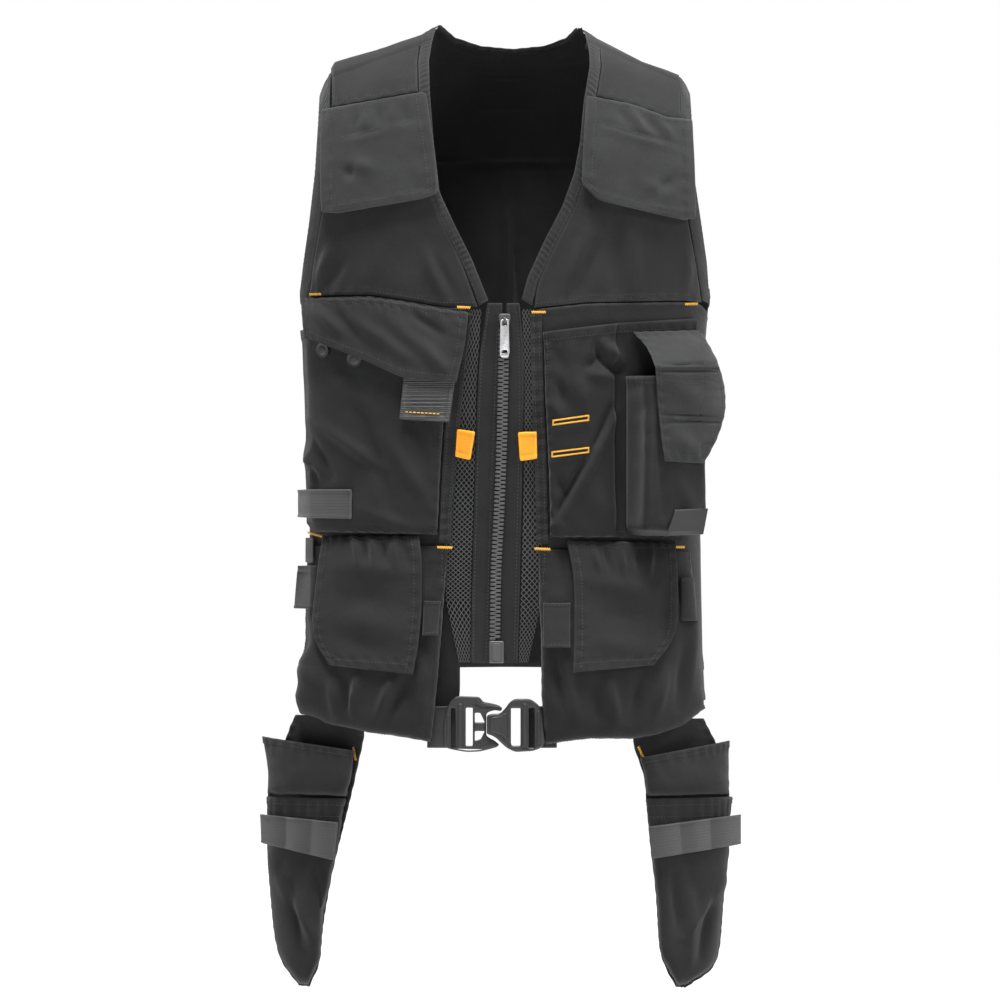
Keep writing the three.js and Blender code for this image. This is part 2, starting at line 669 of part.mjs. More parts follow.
const HOLSTER_BACK_RIGHT = [
  [0.659, 0.9643, 0.844, 0.9807, 0.966, 0.9621],
  [0.634, 0.9814, 0.834, 0.9907, 0.995, 0.9786],
  [0.62, 0.9957, 0.829, 0.9986, 1.024, 0.9943],
  [0.683, 1.0443, 1.093, 1.0443],
  [0.688, 1.0786, 1.093, 1.0786],
  [0.712, 1.1543, 1.098, 1.1471],
  [0.737, 1.2086, 1.068, 1.2086],
  [0.751, 1.2943, 1.049, 1.2943],
  [0.795, 1.3243, 1.01, 1.3229],
  [0.834, 1.3443, 0.878, 1.3443],
];
const HOLSTER_UPPER_RIGHT = [
  [0.659, 1.0171, 1.093, 0.9943],
  [0.683, 1.0443, 1.093, 1.0443],
  [0.688, 1.0714, 1.093, 1.07],
];
const HOLSTER_LOWER_RIGHT = [
  [0.688, 1.0757, 1.107, 1.0743],
  [0.712, 1.1543, 1.093, 1.1471],
  [0.737, 1.2086, 1.068, 1.2086],
  [0.751, 1.2943, 1.044, 1.2943],
  [0.8, 1.3214, 1.005, 1.32],
  [0.839, 1.3414, 0.878, 1.3414],
];
const HOLSTER_LOOPS_RIGHT = [
  [0.702, 1.1157, 1.151, 1.1],
  [0.722, 1.1586, 1.151, 1.14],
];

const CLOTH_DARK = { color: 0x2b2c2d, roughness: 0.92 };
const CLOTH_GREY = { color: 0x3c3d3e, roughness: 0.9 };
const LINING = { color: 0x1b1b1c, roughness: 0.95 };
const WEB = { color: 0x4a4b4c, roughness: 0.85 };
const YELLOW = { color: 0xf2a71b, roughness: 0.7 };
const PLASTIC = { color: 0x141415, roughness: 0.4 };
const METAL = { color: 0xb9babb, roughness: 0.3, metalness: 1 };

const vest = new THREE.Group();
const swinging = new THREE.Group();
vest.add(swinging);

function add(name, geometry, look, group = vest) {
  const mesh = new THREE.Mesh(geometry, new THREE.MeshStandardMaterial(look));
  mesh.name = name;
  group.add(mesh);
  return mesh;
}

// Shell
add('back_panel', sheet(BACK_PANEL, { lift: SHELL, columns: 16, face: 1 }), CLOTH_DARK);
add('back_yoke', sheet(BACK_YOKE, { lift: SHELL, columns: 28, face: 1 }), CLOTH_DARK);
add('neck_band_back', sheet(NECK_BAND, { lift: SHELL, columns: 12, face: 1 }), CLOTH_DARK);
add('shoulder_yoke_left', sheet(YOKE_LEFT, { lift: SHELL, columns: 4, turnsBackAt: 4 }), CLOTH_DARK);
add('shoulder_yoke_right', sheet(YOKE_RIGHT, { lift: SHELL, columns: 5, turnsBackAt: 4 }), CLOTH_DARK);
add('chest_panel_left', sheet(CHEST_PANEL_LEFT, { lift: SHELL, columns: 7 }), CLOTH_DARK);
add('chest_panel_right', sheet(CHEST_PANEL_RIGHT, { lift: SHELL, columns: 7 }), CLOTH_DARK);
add('front_panel_left', sheet(FRONT_LEFT, { lift: SHELL, columns: 12 }), CLOTH_DARK);
add('front_panel_right', sheet(FRONT_RIGHT, { lift: SHELL, columns: 12 }), CLOTH_DARK);
add('neck_binding_left', strip(NECK_LEFT, SHELL, CLOTH), CLOTH_DARK);
add('neck_binding_right', strip(NECK_RIGHT, SHELL, CLOTH), CLOTH_DARK);
add('armhole_binding_left', strip(ARMHOLE_LEFT, SHELL, CLOTH), CLOTH_DARK);
add('armhole_binding_right', strip(ARMHOLE_RIGHT, SHELL, CLOTH), CLOTH_DARK);

// Padded shoulder flaps
const flapLift = flap(SHELL + PAD + SEAM_GAP + 0.6, FLAP_STAND);
const padded = { lift: flapLift, columns: 8, steps: 2, thickness: PAD };
add('shoulder_flap_left', sheet(FLAP_LEFT, padded), CLOTH_GREY);
add('shoulder_flap_right', sheet(FLAP_RIGHT, padded), CLOTH_GREY);

// Front edges, net and zip
add('front_edge_left', sheet(EDGE_LEFT, { lift: ON_SHELL, columns: 1, steps: 2 }), CLOTH_DARK);
add('front_edge_right', sheet(EDGE_RIGHT, { lift: ON_SHELL, columns: 1, steps: 2 }), CLOTH_DARK);

// Coarse net: cells in a row across and down, each with a diamond cut through
function net(rows, lift, thickness) {
  const across = NET_ACROSS;
  const down = NET_DOWN;
  const opening = NET_OPENING;
  const outer = [];
  const inner = [];
  const point = (u, v) => {
    const d = v * (rows.length - 1);
    const i = Math.min(Math.floor(d), rows.length - 2);
    const a = rowPoint(rows[i], u);
    const b = rowPoint(rows[i + 1], u);
    const x = THREE.MathUtils.lerp(a[0], b[0], d - i) * HALF_WIDTH;
    const z = -THREE.MathUtils.lerp(a[1], b[1], d - i) * LENGTH;
    outer.push(drape(x, z, lift, -1));
    inner.push(drape(x, z, lift - thickness, -1));
    return outer.length - 1;
  };
  const corners = [];
  for (let i = 0; i <= down; i += 1) {
    corners.push([]);
    for (let j = 0; j <= across; j += 1) corners[i].push(point(j / across, i / down));
  }
  const faces = [];
  const walls = [];
  for (let i = 0; i < down; i += 1) {
    for (let j = 0; j < across; j += 1) {
      const u = (j + 0.5) / across;
      const v = (i + 0.5) / down;
      const top = point(u, v - opening / down);
      const right = point(u + opening / across, v);
      const bottom = point(u, v + opening / down);
      const left = point(u - opening / across, v);
      const a = corners[i][j];
      const b = corners[i][j + 1];
      const c = corners[i + 1][j + 1];
      const d = corners[i + 1][j];
      faces.push([a, left, top], [a, top, b], [b, top, right], [b, right, c]);
      faces.push([c, right, bottom], [c, bottom, d], [d, bottom, left], [d, left, a]);
      walls.push([top, left], [left, bottom], [bottom, right], [right, top]);
    }
  }
  for (let j = 0; j < across; j += 1) {
    walls.push([corners[0][j], corners[0][j + 1]], [corners[down][j + 1], corners[down][j]]);
  }
  for (let i = 0; i < down; i += 1) {
    walls.push([corners[i + 1][0], corners[i][0]], [corners[i][across], corners[i + 1][across]]);
  }
  const count = outer.length;
  const positions = outer.concat(inner).flatMap((p) => [p.x, p.y, p.z]);
  const index = [];
  faces.forEach(([a, b, c]) => index.push(a, b, c, a + count, c + count, b + count));
  walls.forEach(([a, b]) => index.push(a, b, b + count, a, b + count, a + count));
  const geometry = new THREE.BufferGeometry();
  geometry.setAttribute('position', new THREE.Float32BufferAttribute(positions, 3));
  geometry.setIndex(index);
  geometry.computeVertexNormals();
  return geometry;
}

add('mesh_panel_left', net(MESH_LEFT, BEHIND_SHELL, NET_THREAD), LINING);
add('mesh_panel_right', net(MESH_RIGHT, BEHIND_SHELL, NET_THREAD), LINING);

const TAPE_TOP = SHELL - 0.5;
const ON_TAPE = TAPE_TOP + SEAM_GAP + 0.2;
add('zip_tape_left', sheet(TAPE_LEFT, { lift: TAPE_TOP, columns: 1, steps: 2 }), CLOTH_DARK);
add('zip_tape_right', sheet(TAPE_RIGHT, { lift: TAPE_TOP, columns: 1, steps: 2 }), CLOTH_DARK);

function chain() {
  const line = CHAIN_LINE.map(([across, down]) => [down, across]);
  const first = line[0][0];
  const last = line[line.length - 1][0];
  const teeth = Math.round(((last - first) * LENGTH) / TOOTH_PITCH);
  const grid = [];
  for (let i = 0; i <= teeth * 2; i += 1) {
    const down = THREE.MathUtils.lerp(first, last, i / (teeth * 2));
    const x = tableValue(line, down, 1) * HALF_WIDTH;
    const lift = ON_TAPE + CHAIN_HEIGHT + (i % 2) * TOOTH_RELIEF;
    grid.push([-0.5, 0.5].map((side) => drape(x + side * CHAIN_WIDTH, -down * LENGTH, lift, -1)));
  }
  return thickSheet(grid, CHAIN_HEIGHT, -1);
}
add('zip_chain', chain(), PLASTIC);

// Turns a piece made in the XY plane to face forward at a point of the vest
function seat(mesh, across, down, lift) {
  const place = drape(across * HALF_WIDTH, -down * LENGTH, lift, -1);
  const z = outward(place);
  const y = new THREE.Vector3(0, 0, 1).addScaledVector(z, -z.z).normalize();
  const x = new THREE.Vector3().crossVectors(y, z);
  mesh.quaternion.setFromRotationMatrix(new THREE.Matrix4().makeBasis(x, y, z));
  mesh.position.copy(place);
  return mesh;
}

function outline(points, scale = 1) {
  return new THREE.Shape(points.map(([x, y]) => new THREE.Vector2(x * scale, y * scale)));
}

function plate(shape, depth, start = 0) {
  const geometry = new THREE.ExtrudeGeometry(shape, { depth, bevelEnabled: false, curveSegments: 6 });
  return geometry.translate(0, 0, start);
}

function rectangle(left, bottom, right, top) {
  return outline([[left, bottom], [right, bottom], [right, top], [left, top]]);
}

// Slider with a bail on its front, and the pull that swings on the bail

const wasm = await Module();
wasm.setup();

function toSolid(geometry) {
  const bare = geometry.clone();
  bare.deleteAttribute('normal');
  bare.deleteAttribute('uv');
  const merged = mergeVertices(bare, 1e-4);
  return new wasm.Manifold(new wasm.Mesh({
    numProp: 3,
    vertProperties: new Float32Array(merged.attributes.position.array),
    triVerts: new Uint32Array(merged.index.array),
  }));
}

function toGeometry(solid) {
  const mesh = solid.getMesh();
  const geometry = new THREE.BufferGeometry();
  geometry.setAttribute('position', new THREE.BufferAttribute(new Float32Array(mesh.vertProperties), 3));
  geometry.setIndex(new THREE.BufferAttribute(new Uint32Array(mesh.triVerts), 1));
  geometry.computeVertexNormals();
  return geometry;
}

function box(width, height, depth, x, y, z) {
  return new THREE.BoxGeometry(width, height, depth).translate(x, y, z);
}

function sliderBody() {
  const half = SLIDER_WIDTH / 2;
  const tall = SLIDER_LENGTH / 2;
  const body = plate(outline([
    [-half * 0.7, -tall], [half * 0.7, -tall], [half, tall * 0.3], [half * 0.9, tall],
    [-half * 0.9, tall], [-half, tall * 0.3],
  ]), SLIDER_HEIGHT);
  const room = BAIL_ROOM + 2 * BAIL_WALL;
  const reach = BAIL_ROOM + BAIL_WALL + 0.5 * SLIDER_HEIGHT;
  const bail = box(BAIL_WIDTH, room, reach, 0, 0, SLIDER_HEIGHT * 0.5 + reach / 2);
  const eye = box(BAIL_WIDTH * 2, BAIL_ROOM, BAIL_ROOM, 0, 0, SLIDER_HEIGHT + BAIL_ROOM / 2);
  return toGeometry(toSolid(body).add(toSolid(bail)).subtract(toSolid(eye)));
}
const SLIDER_AT = [-0.002, 0.3943];
seat(add('zip_slider', sliderBody(), PLASTIC), SLIDER_AT[0], SLIDER_AT[1], ON_TAPE);

function pullPlate() {
  const half = PULL_WIDTH / 2;
  const top = PULL_BAR / 2;
  const bottom = top - PULL_LENGTH;
  const shape = outline([
    [-half * 0.86, top], [-half * 0.86, top - PULL_EYE * 1.6], [-half, bottom + half],
    [-half * 0.75, bottom], [half * 0.75, bottom], [half, bottom + half],
    [half * 0.86, top - PULL_EYE * 1.6], [half * 0.86, top],
  ]);
  const gap = BAIL_WIDTH / 2 + 0.9;
  shape.holes.push(rectangle(-gap, top - PULL_BAR - PULL_EYE + 0.7, gap, top - PULL_BAR));
  return plate(shape, PULL_THICKNESS, -PULL_THICKNESS / 2);
}
const pullLift = ON_TAPE + SLIDER_HEIGHT + BAIL_ROOM / 2;
const pull = add('zip_pull', pullPlate(), METAL, swinging);
seat(pull, SLIDER_AT[0], SLIDER_AT[1], pullLift);

const BOTTOM_BOX_AT = [-0.041, 0.8664];
const BOX_WIDTH = 15;
const BOX_HEIGHT = 22;
const BOX_DEPTH = 6;
const boxShape = rectangle(-BOX_WIDTH / 2, -BOX_HEIGHT / 2, BOX_WIDTH / 2, BOX_HEIGHT / 2);
const bottomBox = add('zip_bottom_box', plate(boxShape, BOX_DEPTH), PLASTIC);
seat(bottomBox, BOTTOM_BOX_AT[0], BOTTOM_BOX_AT[1], ON_TAPE);

// Yellow tabs: a folded tape, twice the cloth
const TAB_FOLD = 2 * CLOTH;
const tabTop = ON_SHELL + SEAM_GAP + 0.5 + TAB_FOLD;
add('pull_tab_left', sheet(TAB_LEFT, { lift: tabTop, columns: 2, thickness: TAB_FOLD }), YELLOW);
add('pull_tab_right', sheet(TAB_RIGHT, { lift: tabTop, columns: 2, thickness: TAB_FOLD }), YELLOW);

// Left chest: a low pocket under a flap, with two press studs, a plaque and a webbing loop
const wall = 0.035;
const chestPouch = pouch(ON_SHELL + 0.5, CHEST_POCKET_DEPTH, 0.5);
const leftPocket = sheet(POCKET_LEFT, { lift: chestPouch, columns: 6, wall, foot: 0.2 });
add('chest_pocket_left', leftPocket, CLOTH_DARK);
const flapEdge = CHEST_POCKET_TOP + 2 * LAYER + 0.5;
const chestFlapLift = flap(ON_SHELL + CLOTH + SEAM_GAP + 0.2, flapEdge);
const chestFlap = sheet(POCKET_FLAP, { lift: chestFlapLift, columns: 8, steps: 2 });
add('chest_flap_left', chestFlap, CLOTH_DARK);

const SNAP_RADIUS = 8;
const SNAP_HEIGHT = 2.5;
function snap() {
  return new THREE.CylinderGeometry(SNAP_RADIUS, SNAP_RADIUS, SNAP_HEIGHT, 16).rotateX(Math.PI / 2);
}
const SNAP_UPPER_AT = [-0.888, 0.4371];
const SNAP_LOWER_AT = [-0.732, 0.45];
const snapLift = CHEST_POCKET_TOP - 1.5;
seat(add('snap_upper', snap(), WEB), SNAP_UPPER_AT[0], SNAP_UPPER_AT[1], snapLift);
seat(add('snap_lower', snap(), WEB), SNAP_LOWER_AT[0], SNAP_LOWER_AT[1], snapLift);

const PLAQUE_THICKNESS = 2;
const plaqueTop = CHEST_POCKET_TOP + SEAM_GAP + 0.7 + PLAQUE_THICKNESS;
add('flap_plaque', sheet(PLAQUE, { lift: plaqueTop, columns: 2, thickness: PLAQUE_THICKNESS }), PLASTIC);
const loopLift = CHEST_POCKET_TOP + SEAM_GAP + WEBBING + 0.6;
add('webbing_loop', sheet(WEBBING_LOOP, { lift: loopLift, columns: 4, thickness: WEBBING }), WEB);

// Right chest: a pocket with a hem, and a deep phone pocket with a flap on its outer half
const HALF_POUCH = 0.34;
function halfPouch(u, v) {
  const share = Math.min(u / HALF_POUCH, 1);
  const belly = 0.45 + 0.55 * Math.sin(Math.min(v * 1.4, 1) * Math.PI / 2);
  const bottom = Math.pow(Math.max(1 - Math.pow(v, 10), 0), 1 / 5);
  return ON_SHELL + 0.8 + CHEST_POCKET_DEPTH * full(share, 4) * belly * bottom;
}
const POCKET_RIGHT_STOPS = [
  0, 0.015, 0.08, 0.16, 0.24, 0.32, HALF_POUCH, 0.45, 0.6, 0.72, 0.82, 0.9, 0.95, 1,
];
const rightPocket = sheet(POCKET_RIGHT, { lift: halfPouch, across: POCKET_RIGHT_STOPS, foot: 0.2 });
add('chest_pocket_right', rightPocket, CLOTH_DARK);

function phonePocket() {
  const last = PHONE_POCKET.length - 1;
  const grid = PHONE_POCKET.map((row, i) => {
    const line = [];
    for (let j = 0; j < row.length; j += 2) {
      const foot = j === 0 || j === row.length - 2 || i === last;
      const lift = foot ? ON_POCKET + 0.5 : PHONE_FRONT;
      line.push(drape(row[j] * HALF_WIDTH, -row[j + 1] * LENGTH, lift, -1));
    }
    return line;
  });
  return thickSheet(grid, CLOTH, -1);
}
add('phone_pocket', phonePocket(), CLOTH_DARK);

const phoneFlapFront = PHONE_FRONT + LAYER + 0.3;
const PHONE_FLAP_RISE = [[0, 0], [0.17, 0.45], [0.34, 1], [1, 1]];
function phoneFlapLift(u, v) {
  return THREE.MathUtils.lerp(ON_POCKET, phoneFlapFront, tableValue(PHONE_FLAP_RISE, v, 1));
}
add('phone_flap', sheet(PHONE_FLAP, { lift: phoneFlapLift, columns: 5 }), CLOTH_GREY);
const tagLift = PHONE_FRONT + LAYER;
add('side_tag', sheet(SIDE_TAG, { lift: tagLift, columns: 2 }), PLASTIC);

// Pouches below, each under a flap, with loops at their sides
const bagPouch = pouch(ON_SHELL, BAG_DEPTH, 0.06);
add('bag_left', sheet(BAG_LEFT, { lift: bagPouch, columns: 7, wall, foot: 0.15 }), CLOTH_DARK);
add('bag_right', sheet(BAG_RIGHT, { lift: bagPouch, columns: 7, wall, foot: 0.15 }), CLOTH_DARK);
const bagFlapLift = flap(ON_SHELL + CLOTH + SEAM_GAP + 0.2, BAG_FRONT + LAYER + 2);
add('bag_flap_left', sheet(BAG_FLAP_LEFT, { lift: bagFlapLift, columns: 6, steps: 2 }), CLOTH_DARK);
add('bag_flap_right', sheet(BAG_FLAP_RIGHT, { lift: bagFlapLift, columns: 6, steps: 2 }), CLOTH_DARK);
// Loops on the pouches. The two shares say how far up the pouch's depth its top and bottom edges sit
[
  ['bag_loop_left_outer', LOOP_LEFT_OUTER, 0.24, 0.57],
  ['bag_loop_left_inner', LOOP_LEFT_INNER, 0.5, 0.74],
  ['bag_loop_right_inner', LOOP_RIGHT_INNER, 0.5, 0.84],
  ['bag_loop_right_outer', LOOP_RIGHT_OUTER, 0.28, 0.6],
].forEach(([name, rows, top, bottom]) => {
  const lift = (u, v) => {
    const seat = ON_SHELL + LAYER + BAG_DEPTH * THREE.MathUtils.lerp(top, bottom, v);
    return seat + LOOP_STAND * full(u, 2);
  };
  add(name, sheet(rows, { lift, columns: 4 }), CLOTH_DARK);
});
const strapLift = (u, v) => ON_SHELL + LAYER + BAG_DEPTH * 0.2 * v;
add('strap_left', sheet(STRAP, { lift: strapLift, columns: 1 }), WEB);
add('inner_layer_left', sheet(INNER_LAYER, { lift: BEHIND_SHELL - LAYER, columns: 2 }), LINING);

// Belt and buckle
const BELT_LEVEL = 0.9729;
function beltRows(left, right) {
  const half = WEBBING_WIDTH / 2 / LENGTH;
  return [-half, half].map((d) => [left, BELT_LEVEL + d, right, BELT_LEVEL + d]);
}
const BELT_LEFT = beltRows(-0.376, -0.239);
const BELT_RIGHT = beltRows(0.083, 0.249);
const beltLift = (u) => WEBBING + 1.6 * u;
add('belt_left', sheet(BELT_LEFT, { lift: beltLift, columns: 3, thickness: WEBBING }), WEB);
add('belt_right', sheet(BELT_RIGHT, { lift: WEBBING, columns: 3, thickness: WEBBING }), WEB);

// Buckle outlines. Columns: across and up from its middle, as shares of its length
const PLUG_OUTLINE = [
  [-0.376, 0.277], [-0.149, 0.267], [-0.119, 0.218], [-0.05, 0.208], [0.03, 0.188], [0.075, 0.158],
  [0.06, 0.125], [0, 0.138], [-0.06, 0.12], [-0.084, 0.1], [-0.084, -0.115], [-0.05, -0.14],
  [0, -0.165], [0.045, -0.205], [0.02, -0.228], [-0.05, -0.248], [-0.149, -0.272], [-0.277, -0.277],
  [-0.396, -0.257], [-0.475, -0.238], [-0.505, -0.198], [-0.505, 0.02], [-0.475, 0.149], [-0.446, 0.218],
];
const PLUG_HOLES = [
  [[-0.431, 0.155], [-0.431, -0.235], [-0.392, -0.235], [-0.392, 0.155]],
  [[-0.287, 0.16], [-0.287, -0.215], [-0.218, -0.215], [-0.218, 0.16]],
  [[-0.198, 0.11], [-0.198, 0.015], [-0.1, 0.015], [-0.145, 0.11]],
  [[-0.198, -0.07], [-0.198, -0.165], [-0.14, -0.15], [-0.1, -0.07]],
];
const SOCKET_OUTLINE = [
  [-0.08, 0.085], [-0.03, 0.1], [0.05, 0.1], [0.099, 0.149], [0.149, 0.218], [0.198, 0.248],
  [0.347, 0.248], [0.406, 0.208], [0.446, 0.168], [0.465, 0.099], [0.485, -0.099], [0.495, -0.178],
  [0.455, -0.238], [0.376, -0.267], [0.198, -0.277], [0.119, -0.238], [0.075, -0.2], [0.01, -0.135],
  [-0.04, -0.11], [-0.08, -0.1],
];
const SOCKET_HOLES = [
  [[0.158, 0.155], [0.158, -0.19], [0.168, -0.215], [0.252, -0.215], [0.252, 0.155]],
  [[0.337, 0.155], [0.337, -0.235], [0.386, -0.235], [0.386, 0.155]],
];
function buckleHalf(points, holes, thickness) {
  const tall = BUCKLE_HEIGHT / (0.554 * BUCKLE_LENGTH);
  const scaled = (list) => outline(list.map(([x, y]) => [x, y * tall]), BUCKLE_LENGTH);
  const shape = scaled(points);
  holes.forEach((hole) => shape.holes.push(scaled(hole)));
  return plate(shape, thickness);
}
const BUCKLE_AT = [-0.049, 0.9686];
const buckleLift = WEBBING + SEAM_GAP + 0.4;
const plug = add('buckle_plug', buckleHalf(PLUG_OUTLINE, PLUG_HOLES, PLUG_THICKNESS), PLASTIC);
seat(plug, BUCKLE_AT[0], BUCKLE_AT[1], buckleLift);
const socket = add('buckle_socket', buckleHalf(SOCKET_OUTLINE, SOCKET_HOLES, SOCKET_THICKNESS), PLASTIC);
seat(socket, BUCKLE_AT[0], BUCKLE_AT[1], buckleLift);

// Holsters hang below the pouches at the hips and face outwards
const HOLSTER_INNER = 0.65;   // inner edge of each holster, share of HALF_WIDTH
const HOLSTER_FORWARD = 99;   // its inner edge in front of the side seams
const HOLSTER_CURVE = 8;      // how far its long edges curl back round the thigh
const HOLSTER_HALF = 55;
function holsterPlace(sign) {
  const lean = THREE.MathUtils.degToRad(HOLSTER_LEAN);
  return (x, z, lift) => {
    const foot = x - sign * Math.sin(lean) * lift;
    const out = sign * foot - HOLSTER_INNER * HALF_WIDTH;
    const curl = HOLSTER_CURVE * Math.pow((out - HOLSTER_HALF) / HOLSTER_HALF, 2);
    const y = -HOLSTER_FORWARD + out * Math.tan(lean) + curl;
    return new THREE.Vector3(x, y - Math.cos(lean) * lift, z);
  };
}
const holsterPouch = pouch(CLOTH + LAYER, HOLSTER_DEPTH, 0.8);
const holsterStrap = CLOTH + LAYER + HOLSTER_DEPTH * 0.87 + SEAM_GAP + WEBBING + 0.3;
const loopWave = (u) => holsterStrap + LOOP_STAND * Math.abs(Math.sin(u * Math.PI * 3));
[
  ['left', -1, HOLSTER_BACK_LEFT, HOLSTER_UPPER_LEFT, HOLSTER_LOWER_LEFT, HOLSTER_LOOPS_LEFT],
  ['right', 1, HOLSTER_BACK_RIGHT, HOLSTER_UPPER_RIGHT, HOLSTER_LOWER_RIGHT, HOLSTER_LOOPS_RIGHT],
].forEach(([side, sign, back, upper, lower, loops]) => {
  const place = holsterPlace(sign);
  add(`holster_back_${side}`, sheet(back, { lift: CLOTH, columns: 4, place }), CLOTH_DARK);
  const pocket = { lift: holsterPouch, columns: 5, wall: 0.05, place };
  const upperSheet = sheet(upper, { ...pocket, steps: 2, foot: 0.15 });
  add(`holster_pocket_upper_${side}`, upperSheet, CLOTH_DARK);
  const lowerSheet = sheet(lower, { ...pocket, foot: 0.3 });
  add(`holster_pocket_lower_${side}`, lowerSheet, CLOTH_DARK);
  const strapSheet = sheet(loops, { lift: loopWave, columns: 12, thickness: WEBBING, place });
  add(`holster_loops_${side}`, strapSheet, WEB);
});

export default vest;
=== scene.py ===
import math
import random

import bmesh
import bpy
import numpy as np
from mathutils import Matrix, Vector


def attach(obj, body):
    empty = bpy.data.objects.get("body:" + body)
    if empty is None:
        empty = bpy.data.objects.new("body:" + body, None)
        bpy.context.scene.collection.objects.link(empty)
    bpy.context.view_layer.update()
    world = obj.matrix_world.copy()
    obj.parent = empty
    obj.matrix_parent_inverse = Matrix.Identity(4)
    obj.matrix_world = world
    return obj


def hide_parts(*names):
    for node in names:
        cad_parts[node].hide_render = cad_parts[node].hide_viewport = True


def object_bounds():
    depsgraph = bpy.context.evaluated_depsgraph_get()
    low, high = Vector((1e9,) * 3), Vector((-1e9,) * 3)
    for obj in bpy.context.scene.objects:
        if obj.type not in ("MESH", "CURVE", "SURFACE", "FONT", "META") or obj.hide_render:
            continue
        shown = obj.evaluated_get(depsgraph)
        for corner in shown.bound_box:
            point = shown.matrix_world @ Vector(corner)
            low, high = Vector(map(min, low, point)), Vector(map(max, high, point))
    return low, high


bl_info = {
    "name": "Utility work vest",
    "version": (1, 0, 0),
    "blender": (4, 5, 0),
    "location": "View3D > Sidebar > Vest",
    "description": "Dresses a utility work vest with cloth, stitching, net, zip and buckle",
    "category": "Object",
}

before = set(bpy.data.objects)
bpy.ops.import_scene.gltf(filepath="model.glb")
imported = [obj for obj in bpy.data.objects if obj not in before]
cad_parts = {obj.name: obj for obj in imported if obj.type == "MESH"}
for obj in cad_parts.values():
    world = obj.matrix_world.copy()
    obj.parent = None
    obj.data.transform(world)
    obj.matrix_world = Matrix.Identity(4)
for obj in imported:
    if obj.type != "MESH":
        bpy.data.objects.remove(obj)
CAD_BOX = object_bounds()

# Main sizes of the vest, in metres. +Z is up and the front faces -Y.
LENGTH = 0.7
HALF_WIDTH = 0.205
CHEST_DEPTH = 0.116
BACK_DEPTH = 0.118
CLOTH = 0.0015
SEAM_GAP = 0.0004
ROUNDNESS = 2.4
SHOULDER_ROUNDNESS = 2.1
ARCH_START = 0.27
SIDE_LIMIT = math.radians(89.95)
LAYER = CLOTH + SEAM_GAP + 0.0006
SHELL = CLOTH
ON_SHELL = SHELL + LAYER
ON_POCKET = ON_SHELL + LAYER
BEHIND_SHELL = -SEAM_GAP - 0.0003
CHEST_POCKET_DEPTH = 0.012
CHEST_POCKET_TOP = ON_SHELL + CHEST_POCKET_DEPTH
PHONE_FRONT = ON_POCKET + 0.042
BAG_DEPTH = 0.024
BAG_FRONT = ON_SHELL + BAG_DEPTH
WEBBING = 0.002
LOOP_STAND = 0.004
ZIP_TOP = SHELL - 0.0005 + SEAM_GAP + 0.0002
HOLSTER_DEPTH = 0.026
HOLSTER_LEAN = math.radians(40)
HOLSTER_INNER = 0.65
HOLSTER_FORWARD = 0.099
HOLSTER_CURVE = 0.008
HOLSTER_HALF = 0.055
BUCKLE_LENGTH = 0.101
SLIDER_AT = (-0.002, 0.3943)
BUCKLE_AT = (-0.049, 0.9686)
BOTTOM_BOX_AT = (-0.041, 0.8664)
SNAPS_AT = {"snap_upper": (-0.888, 0.4371), "snap_lower": (-0.732, 0.45)}

# How strongly the folds stand out, against the heights in their tables
FOLD_STRENGTH = 2.1

# The camera looks level at the front, 16 m away: 1 mm of the vest is one pixel of 1000
CAMERA_AT = (-0.005, -16.1, -0.455)
CAMERA_LENS = 578

# Tables of shares. Body: down, width, front, back. Shoulder line: across, up.
# Every other table has a row for each level from the top: across and down shares of its points.
BACK_FACING = [
    [-0.43, -0.012, -0.38, -0.034, -0.32, -0.024, -0.244, -0.006, -0.122, 0.005, 0.039, 0.009, 0.195,
     0.005, 0.298, -0.004, 0.36, -0.024, 0.42, -0.034, 0.47, -0.008], [-0.838, 0.06, 0, 0.05, 0.846, 0.06],
    [-0.846, 0.11, 0, 0.1, 0.85, 0.11], [-0.856, 0.17, 0, 0.17, 0.862, 0.17],
    [-0.88, 0.2586, 0, 0.2586, 0.885, 0.2586], [-0.915, 0.3271, 0, 0.3271, 0.92, 0.3271],
    [-0.99, 0.39, 0, 0.39, 0.99, 0.39], [-1.0, 0.6, 0, 0.6, 1.0, 0.6], [-1.0, 0.885, 0, 0.885, 1.0, 0.885],
]
SHOULDER_FACING_LEFT = [
    [-0.842, 0.03, -0.39, 0.0], [-0.842, 0.075, -0.385, 0.05], [-0.85, 0.105, -0.385, 0.09],
]
SHOULDER_FACING_RIGHT = [
    [0.43, 0.0, 0.85, 0.06], [0.425, 0.06, 0.855, 0.09], [0.42, 0.1, 0.86, 0.12],
]
CHEST_FACING_LEFT = [
    [-0.93, 0.345, -0.659, 0.345, -0.498, 0.352, -0.298, 0.362, -0.16, 0.362],
    [-0.96, 0.372, -0.659, 0.37, -0.498, 0.377, -0.298, 0.386, -0.16, 0.386],
]
CHEST_FACING_RIGHT = [
    [0.13, 0.362, 0.395, 0.356, 0.873, 0.353, 0.93, 0.355],
    [0.13, 0.386, 0.395, 0.38, 0.873, 0.376, 0.96, 0.378],
]
BODY = [
    [-0.1, 1.03, 0.97, 0.98], [0.27, 1.025, 1.0, 1.0], [0.37, 0.988, 0.99, 0.98], [0.43, 0.97, 0.98, 0.96],
    [0.55, 0.953, 0.96, 0.93], [0.7, 0.948, 0.94, 0.9], [0.86, 0.958, 0.96, 0.94],
    [1.02, 0.985, 0.99, 0.99],
]
